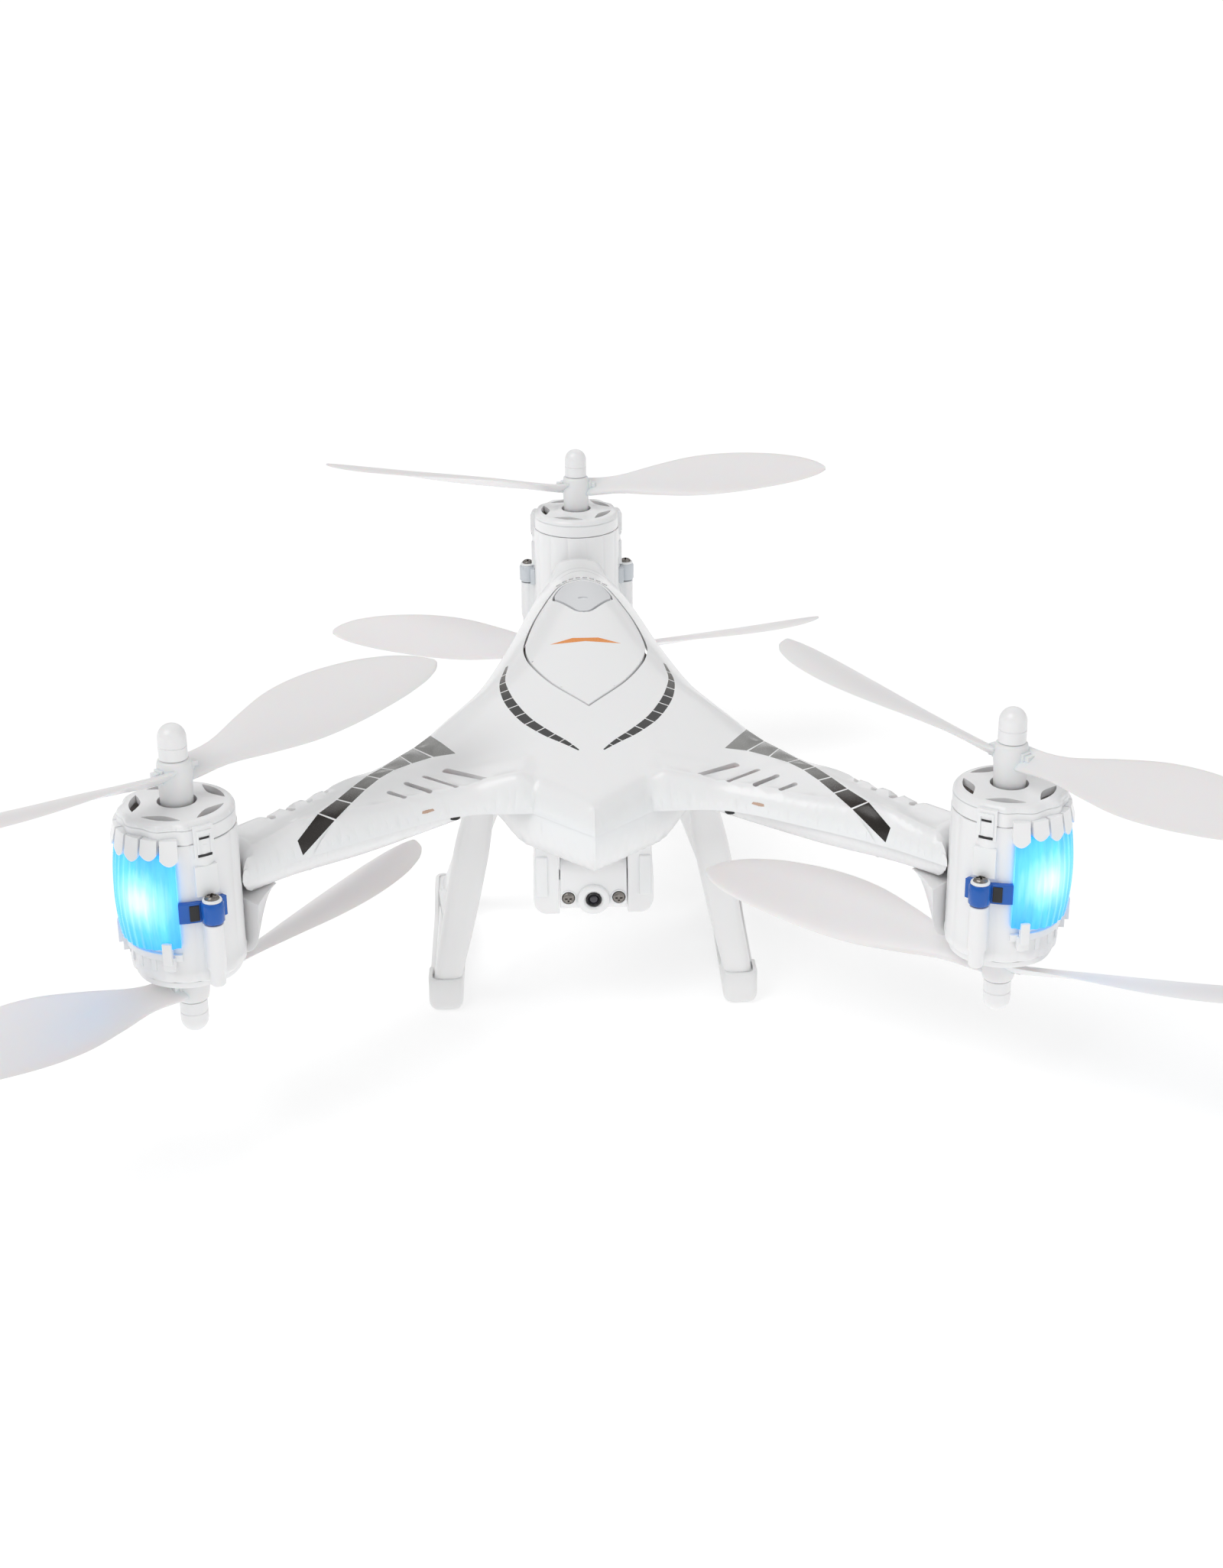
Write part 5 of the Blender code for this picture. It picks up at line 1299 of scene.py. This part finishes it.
def make_camera():
    low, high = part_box("camera_bracket")
    bottom, top = low.z - GROUND, high.z - GROUND
    half = high.x + 0.0009
    chamfer = 0.0045
    bridge = 0.0020
    gap_half = BLOCK_HALF_WIDTH + GAP
    shape = Shape(WHITE, BLACK)
    for side in (-1, 1):
        corner = [(half - chamfer * 0.8 + chamfer * 0.8 * sin(pi / 2 * k / 6) ** 1.2,
                   bottom + chamfer * (1 - cos(pi / 2 * k / 6)) ** 1.1) for k in range(7)]
        section = [(gap_half, bottom)] + corner
        section += [(half, 0.5 * (bottom + top)), (half - 0.0006, top), (gap_half, top)]
        shape.add(bar_along_y([(side * x, h) for x, h in section], low.y, high.y))
        shape.add(round_block(*sorted((side * (half - 0.0042), side * (half - 0.0008))), low.y - 0.0006,
                              low.y + 0.002, bottom + 0.0058, top - 0.0030, 0.0005))
    shape.add(block(-gap_half, gap_half, low.y, high.y, top - bridge, top))
    # Black notches at the front edge and stripes across the top: painted shade in the bracket's slots.
    for x, width in ((-0.0125, 0.0030), (-0.0040, 0.0042), (0.0040, 0.0042), (0.0125, 0.0030)):
        shape.add(block(x - width / 2, x + width / 2, low.y - 0.0001, low.y + 0.0040,
                        top - 0.0007, top + 0.0001), BLACK)
    for k in range(3):
        y = low.y + 0.0050 + 0.0036 * k
        shape.add(block(-0.0060, 0.0060, y, y + 0.0012, top - 0.0006, top + 0.0001), BLACK)
    make_piece("camera_bracket_fine", shape, "root", ["camera_bracket"], 0.00035, 35)

    body = BODY_OF["camera_block"]
    block_shape = Shape(WHITE, BLACK)
    section = []
    for i in range(64):
        a = 2 * pi * (i + 0.5) / 64
        c, s = cos(a), sin(a)
        radius = BLOCK_HALF_HEIGHT / (abs(c) ** 4 + abs(s) ** 4) ** 0.25
        section.append((CAMERA_Y + radius * c, TILT_HEIGHT + radius * s))
    block_shape.add(bar_along_x(section, -BLOCK_HALF_WIDTH, BLOCK_HALF_WIDTH))
    pin = circle(CAMERA_Y, TILT_HEIGHT, 0.0015, 24)
    block_shape.add(bar_along_x(pin, -BLOCK_HALF_WIDTH - 0.0025, BLOCK_HALF_WIDTH + 0.0025))
    boss = ((0.0023, -0.0030), (0.0047, -0.0030), (0.0047, 0.0004), (0.0045, 0.0008), (0.0041, 0.0010),
            (0.0030, 0.0010), (0.0026, 0.0006), (0.0023, 0.0004))
    block_shape.add(aimed(boss, (0.0, FRONT, LENS_HEIGHT), 56))
    for side in (-1, 1):
        well = ((0.0019, -0.0006), (0.0023, -0.0006), (0.0023, 0.0003), (0.0021, 0.0004), (0.0019, 0.0003))
        block_shape.add(aimed(well, (side * 0.0073, FRONT, LENS_HEIGHT + 0.0006), 36))
        # Black disc in each screw well: painted shade round the screw head.
        block_shape.add(aimed(((0.0, -0.0006), (0.0019, -0.0006), (0.0019, 0.00005), (0.0, 0.00005)),
                              (side * 0.0073, FRONT, LENS_HEIGHT + 0.0006), 36), BLACK)
    make_piece("camera_block_fine", block_shape, body, ["camera_block"], 0.0003, 35)

    lens = Shape(GLASS, LENS_RING)
    turns = [pi / 2 * k / 8 for k in range(1, 9)]
    dome = [(0.0, 0.0004)] + [(0.0013 * sin(t), 0.0001 + 0.0004 * cos(t)) for t in turns]
    lens.add(aimed(dome + [(0.0013, -0.0006), (0.0, -0.0006)], (0.0, FRONT, LENS_HEIGHT), 40))
    ring = ((0.0013, -0.0008), (0.0022, -0.0008), (0.0022, 0.0006), (0.0020, 0.0008), (0.0018, 0.0008),
            (0.0013, 0.0001))
    lens.add(aimed(ring, (0.0, FRONT, LENS_HEIGHT), 48), LENS_RING)
    make_piece("camera_lens_fine", lens, body, ["camera_lens"], 0.0, 35)
    for side, word in ((-1, "left"), (1, "right")):
        screw = Shape(STEEL)
        spot = place(side * 0.0073, FRONT, LENS_HEIGHT + 0.0006)
        for form in cross_screw(0.0017, 0.0009, 0.0006):
            screw.add(turned_to(form, spot, (0, -1, 0)))
        make_piece(f"camera_screw_{word}_fine", screw, body, [f"camera_screw_{word}"])


def aimed(profile, spot, count):
    """Turned form that faces the nose; the profile's second value is how far it stands forward."""
    form = lathe([(r, h - GROUND) for r, h in profile], (0.0, 0.0), count)
    return turned_to(form, place(*spot), (0, -1, 0))


# ---- skids ------------------------------------------------------------------------------
def skid_section(centre, run, half_x, half_other, power=4.0, count=28):
    """Rounded-rectangle section of a skid, square to its run in the YZ plane."""
    run = Vector(run).normalized()
    side = Vector((1, 0, 0))
    up = side.cross(run)
    ring = []
    for i in range(count):
        a = 2 * pi * (i + 0.5) / count
        c, s = cos(a), sin(a)
        radius = 1.0 / (abs(c) ** power + abs(s) ** power) ** (1 / power)
        ring.append(tuple(Vector(centre) + side * half_x * radius * c + up * half_other * radius * s))
    return ring


def make_skid(side, word):
    low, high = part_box(f"skid_{word}")
    foot_x = side * 0.0443
    top_front = side * 0.0325
    top_rear = side * 0.0230
    rail_middle = low.z - GROUND + 0.0039
    front, rear = low.y, high.y
    head = high.z - GROUND
    keys = ((top_front, front + 0.0045, head, 0.0042, 0.0055),
            (side * 0.0356, front + 0.0047, 0.0500, 0.0052, 0.0055),
            (side * 0.0398, front + 0.0052, 0.0280, 0.0048, 0.0053),
            (side * 0.0430, front + 0.0055, 0.0130, 0.0043, 0.0052),
            (foot_x, front + 0.0072, rail_middle + 0.0016, 0.0038, 0.0045),
            (foot_x, front + 0.0150, rail_middle, 0.0036, 0.0039),
            (foot_x, 0.0, rail_middle, 0.0036, 0.0039),
            (foot_x, rear - 0.0150, rail_middle, 0.0036, 0.0039),
            (foot_x, rear - 0.0072, rail_middle + 0.0016, 0.0038, 0.0045),
            (side * 0.0415, rear - 0.0075, 0.0130, 0.0041, 0.0052),
            (side * 0.0340, rear - 0.0120, 0.0350, 0.0043, 0.0053),
            (top_rear, rear - 0.0172, node_span(f"skid_{word}")[1] - 0.0010, 0.0037, 0.0055))
    path = bent_path(keys, 7)
    rings = []
    for i, key in enumerate(path):
        before, after = path[max(i - 1, 0)], path[min(i + 1, len(path) - 1)]
        run = (0.0, after[1] - before[1], after[2] - before[2])
        rings.append(skid_section(place(*key[:3]), run, key[3], key[4]))
    shape = Shape(SKID_WHITE)
    shape.add(loft(rings))
    make_piece(f"skid_{word}_fine", shape, "root", [f"skid_{word}"], 0.0, 60)

    low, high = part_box(f"foot_pad_{word}")
    pad = Shape(SKID_WHITE)
    pad.add(foot_cap(low, high))
    make_piece(f"foot_pad_{word}_fine", pad, "root", [f"foot_pad_{word}"], 0.0, 50)


def foot_cap(low, high):
    """Rounded shoe round the rail, open on top."""
    rings = []
    bottom, top = low.z - GROUND, high.z - GROUND
    cx, cy = (low.x + high.x) / 2, (low.y + high.y) / 2
    half_x, half_y = (high.x - low.x) / 2, (high.y - low.y) / 2

    spread = half_y - half_x

    def ring(grow, height):
        """Loop at a height that sinks to a low side wall between the two ends."""
        half = []
        for i in range(33):
            a = -pi * i / 32
            c, s = cos(a), sin(a)
            reach = (half_x - grow) / (abs(c) ** 5 + abs(s) ** 5) ** 0.2
            half.append((c * reach, s * reach - spread))
        half += [(grow - half_x, -spread + 2 * spread * k / 12) for k in range(1, 12)]
        loop = []
        for x, y in half + [(-x, -y) for x, y in half]:
            sunk = float(ease((half_y - abs(y) - 0.0090) / 0.0090)) * max(0.0, height - bottom - 0.0042)
            loop.append(place(cx + x, cy + y, height - sunk))
        return loop

    for k in range(7):
        a = pi / 2 * k / 6
        rings.append(ring(0.0022 * (1 - sin(a)), bottom + 0.0030 * (1 - cos(a))))
    rings.append(ring(0.0, top - 0.0005))
    rings.append(ring(0.0004, top))
    rings.append(ring(0.0012, top))
    rings.append(ring(0.0012, top - 0.0006))
    return loft(rings)


# ---- inside -----------------------------------------------------------------------------
def make_inside():
    low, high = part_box("battery")
    bottom, top = low.z - GROUND, high.z - GROUND
    pack = Shape(WRAP, BLACK)
    pack.add(round_block(low.x, high.x, low.y, high.y, bottom, top, 0.0022, 5))
    for y in (low.y + 0.0065, high.y - 0.0065):
        pack.add(round_block(low.x + 0.0001, high.x - 0.0001, y - 0.0030, y + 0.0030,
                             bottom + 0.0001, top + 0.0002, 0.0021, 3), BLACK)
    make_piece("battery_fine", pack, "root", ["battery"], 0.0, 40)

    low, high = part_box("flight_board")
    level = low.z - GROUND
    thick = 0.0016
    board = Shape(MASK, CHIP, GOLD, STEEL)
    board.add(round_block(low.x, high.x, low.y, high.y, level, level + thick, 0.0007, 3))
    mid = (low.y + high.y) / 2
    for x, y, half_x, half_y, rise in ((0.0, mid, 0.0048, 0.0048, 0.0012),
                                       (0.0100, mid + 0.0070, 0.0026, 0.0020, 0.0010),
                                       (-0.0110, mid - 0.0060, 0.0022, 0.0030, 0.0011),
                                       (-0.0100, mid + 0.0090, 0.0030, 0.0018, 0.0009),
                                       (0.0115, mid - 0.0080, 0.0019, 0.0025, 0.0010)):
        board.add(round_block(x - half_x, x + half_x, y - half_y, y + half_y,
                              level + thick, level + thick + rise, 0.0002, 2), CHIP)
        for k in range(5):
            y_pin = y - half_y * 0.8 + half_y * 0.4 * k
            board.add(block(x - half_x - 0.0006, x + half_x + 0.0006, y_pin - 0.0002, y_pin + 0.0002,
                            level + thick, level + thick + 0.0003), GOLD)
    for k in range(6):
        x = low.x + 0.004 + 0.0054 * k
        board.add(round_block(x, x + 0.0030, low.y + 0.0010, low.y + 0.0035,
                              level + thick, level + thick + 0.0018, 0.0003, 2), STEEL)
    make_piece("flight_board_fine", board, "root", ["flight_board"], 0.0, 40)

    wires = Shape(RED, BLUE, BLACK, SKIN_WIRE, LINER)
    colours = (SKIN_WIRE, RED, BLACK, BLUE, SKIN_WIRE, RED)
    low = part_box("wire_loom")[0].z - GROUND
    for side in (-1, 1):
        liner = []
        for along, front_edge, rear_edge in ((0.054, -0.0190, 0.0040), (0.070, -0.0150, 0.0060),
                                             (0.090, -0.0108, 0.0100), (0.119, -0.0050, 0.0088)):
            liner.append([place(*arm_point(along, offset, side), height)
                          for offset in (front_edge, rear_edge) for height in (0.0750, 0.0760)])
        wires.add(loft([[ring[0], ring[2], ring[3], ring[1]] for ring in liner]), LINER)
        for k, look in enumerate(colours):
            shift = (k - 2.5) * 0.0025
            wave = 0.0011 * sin(k * 2.1)
            keys = [(side * 0.0060, -0.0285 + shift, low + 0.0009),
                    (side * 0.0200, -0.0330 + shift, low + 0.0018)]
            for along, offset, height in ((0.052, -0.0085, 0.0762), (0.066, -0.0098 + wave, 0.0769),
                                          (0.082, -0.0080 - wave, 0.0769), (0.100, 0.0020 + wave, 0.0764),
                                          (0.114, 0.0040 - wave, 0.0762), (0.122, 0.0020, 0.0758)):
                x, y = arm_point(along, offset + shift * (1.0 if along < 0.09 else 0.6), side)
                keys.append((x, y, height + 0.0002 * (k % 2)))
            wires.add(tube(bent_path(keys, 6), 0.00085), look)
    for k, look in enumerate((RED, BLACK, BLUE, SKIN_WIRE)):
        shift = (k - 1.5) * 0.0016
        keys = [(shift, -0.0285, low + 0.0009), (shift, 0.0100, low + 0.0009), (shift, 0.0560, low + 0.0009),
                (shift, 0.0840, 0.0722), (shift * 1.1, 0.1050, 0.0726), (shift, 0.1240, 0.0726)]
        wires.add(tube(bent_path(keys, 6), 0.00070), look)
    make_piece("wire_loom_fine", wires, "root", ["wire_loom"], 0.0, 60)

    low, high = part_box("power_switch")
    switch = Shape(BLACK)
    flange = high.z - GROUND
    switch.add(round_block(low.x, high.x, low.y, high.y, flange - 0.0009, flange, 0.0003, 2))
    x0, x1 = low.x + 0.001, high.x - 0.001
    y0, y1 = low.y + 0.0015, high.y - 0.0015
    switch.add(round_block(x0, x1, y0, y1, low.z - GROUND + 0.0003, high.z - GROUND - 0.0006, 0.0003, 2))
    for k in range(4):
        x = x0 + (x1 - x0) * (k + 0.5) / 4
        tip = low.z - GROUND
        switch.add(round_block(x - 0.00025, x + 0.00025, y0, y1, tip, tip + 0.0010, 0.0001, 2))
    make_piece("power_switch_fine", switch, BODY_OF["power_switch"], ["power_switch"], 0.0, 40)


# ---- stage ------------------------------------------------------------------------------
def make_stage():
    mesh = bpy.data.meshes.new("studio_floor")
    reach = 9.0
    level = GROUND - 0.0002
    mesh.from_pydata([(-reach, -reach, level), (reach, -reach, level), (reach, reach, level),
                      (-reach, reach, level)], [], [(0, 1, 2, 3)])
    floor = bpy.data.objects.new("studio_floor", mesh)
    bpy.context.collection.objects.link(floor)
    look, nodes, links, shader = start_look("studio_floor")
    tone = noise(nodes, links, 3.0, 2.0)
    links.new(ramp(nodes, links, tone, ((0.3, (0.93, 0.93, 0.93)), (0.7, (0.95, 0.95, 0.95)))),
              shader.inputs["Base Color"])
    shader.inputs["Roughness"].default_value = 0.7
    shader.inputs["Specular IOR Level"].default_value = 0.1
    shader.inputs["Emission Color"].default_value = (1.0, 1.0, 1.0, 1.0)
    shader.inputs["Emission Strength"].default_value = 0.27
    mesh.materials.append(look)

    world = bpy.data.worlds.new("studio")
    bpy.context.scene.world = world
    world.use_nodes = True
    sky = world.node_tree.nodes["Background"]
    sky.inputs["Color"].default_value = (1.0, 1.0, 1.0, 1.0)
    sky.inputs["Strength"].default_value = 0.50
    lights = (("key", (-0.9, -0.7, 1.5), 0.95, 40), ("fill", (1.2, -1.0, 0.8), 0.25, 60),
              ("back", (0.2, 1.2, 1.2), 0.35, 60))
    for name, spot, power, spread in lights:
        data = bpy.data.lights.new(name, "SUN")
        data.energy = power
        data.angle = radians(spread)
        light = bpy.data.objects.new(name, data)
        light.location = spot
        light.rotation_euler = (-Vector(spot)).to_track_quat("-Z", "Y").to_euler()
        bpy.context.collection.objects.link(light)
    bpy.context.scene.view_settings.view_transform = "Standard"


def make_camera_view():
    yaw, pitch, roll = radians(3.27), radians(23.41), radians(0.11)
    forward = Vector((sin(yaw) * cos(pitch), cos(yaw) * cos(pitch), -sin(pitch)))
    level = Vector((cos(yaw), -sin(yaw), 0.0))
    rise = level.cross(forward)
    right = level * cos(roll) + rise * sin(roll)
    up = rise * cos(roll) - level * sin(roll)
    data = bpy.data.cameras.new("view")
    data.lens = 57.1
    data.sensor_width = 36.0
    data.shift_x = -0.0375
    data.clip_start = 0.01
    camera = bpy.data.objects.new("view", data)
    turn = Matrix((right, up, -forward)).transposed().to_4x4()
    camera.matrix_world = Matrix.Translation(place(-0.0149, -0.7025, 0.3603)) @ turn
    bpy.context.collection.objects.link(camera)
    bpy.context.scene.camera = camera


# ---- build ------------------------------------------------------------------------------
UPPER_TURNS = {"rear": radians(178.3), "left": radians(44.4), "right": radians(129.0)}
LOWER_TURNS = {"rear": radians(179.6), "left": radians(47.0), "right": radians(148.4)}


def main():
    make_stage()
    make_camera_view()
    make_upper_shell()
    make_lower_shell()
    make_hatch()
    make_inside()
    make_camera()
    for side, word in ((-1, "left"), (1, "right")):
        make_skid(side, word)
    for name in ("right", "left", "rear"):
        centre = node_centre(f"shaft_upper_{name}")
        outward = atan2(centre[1], centre[0])
        make_housing(name, centre, outward)
        make_top_cover(name, centre, outward)
        make_bottom_cover(name, centre, outward)
        make_lens(name, centre, outward)
        make_lug_screws(name, centre, outward)
        for word, turns in (("upper", UPPER_TURNS), ("lower", LOWER_TURNS)):
            make_motor(name, centre, word)
            make_rotor(name, centre, word, turns[name])
            shaft = frame["nodes"][f"shaft_{word}_{name}"]
            shaft.data.materials.clear()
            shaft.data.materials.append(SHAFT)


main()
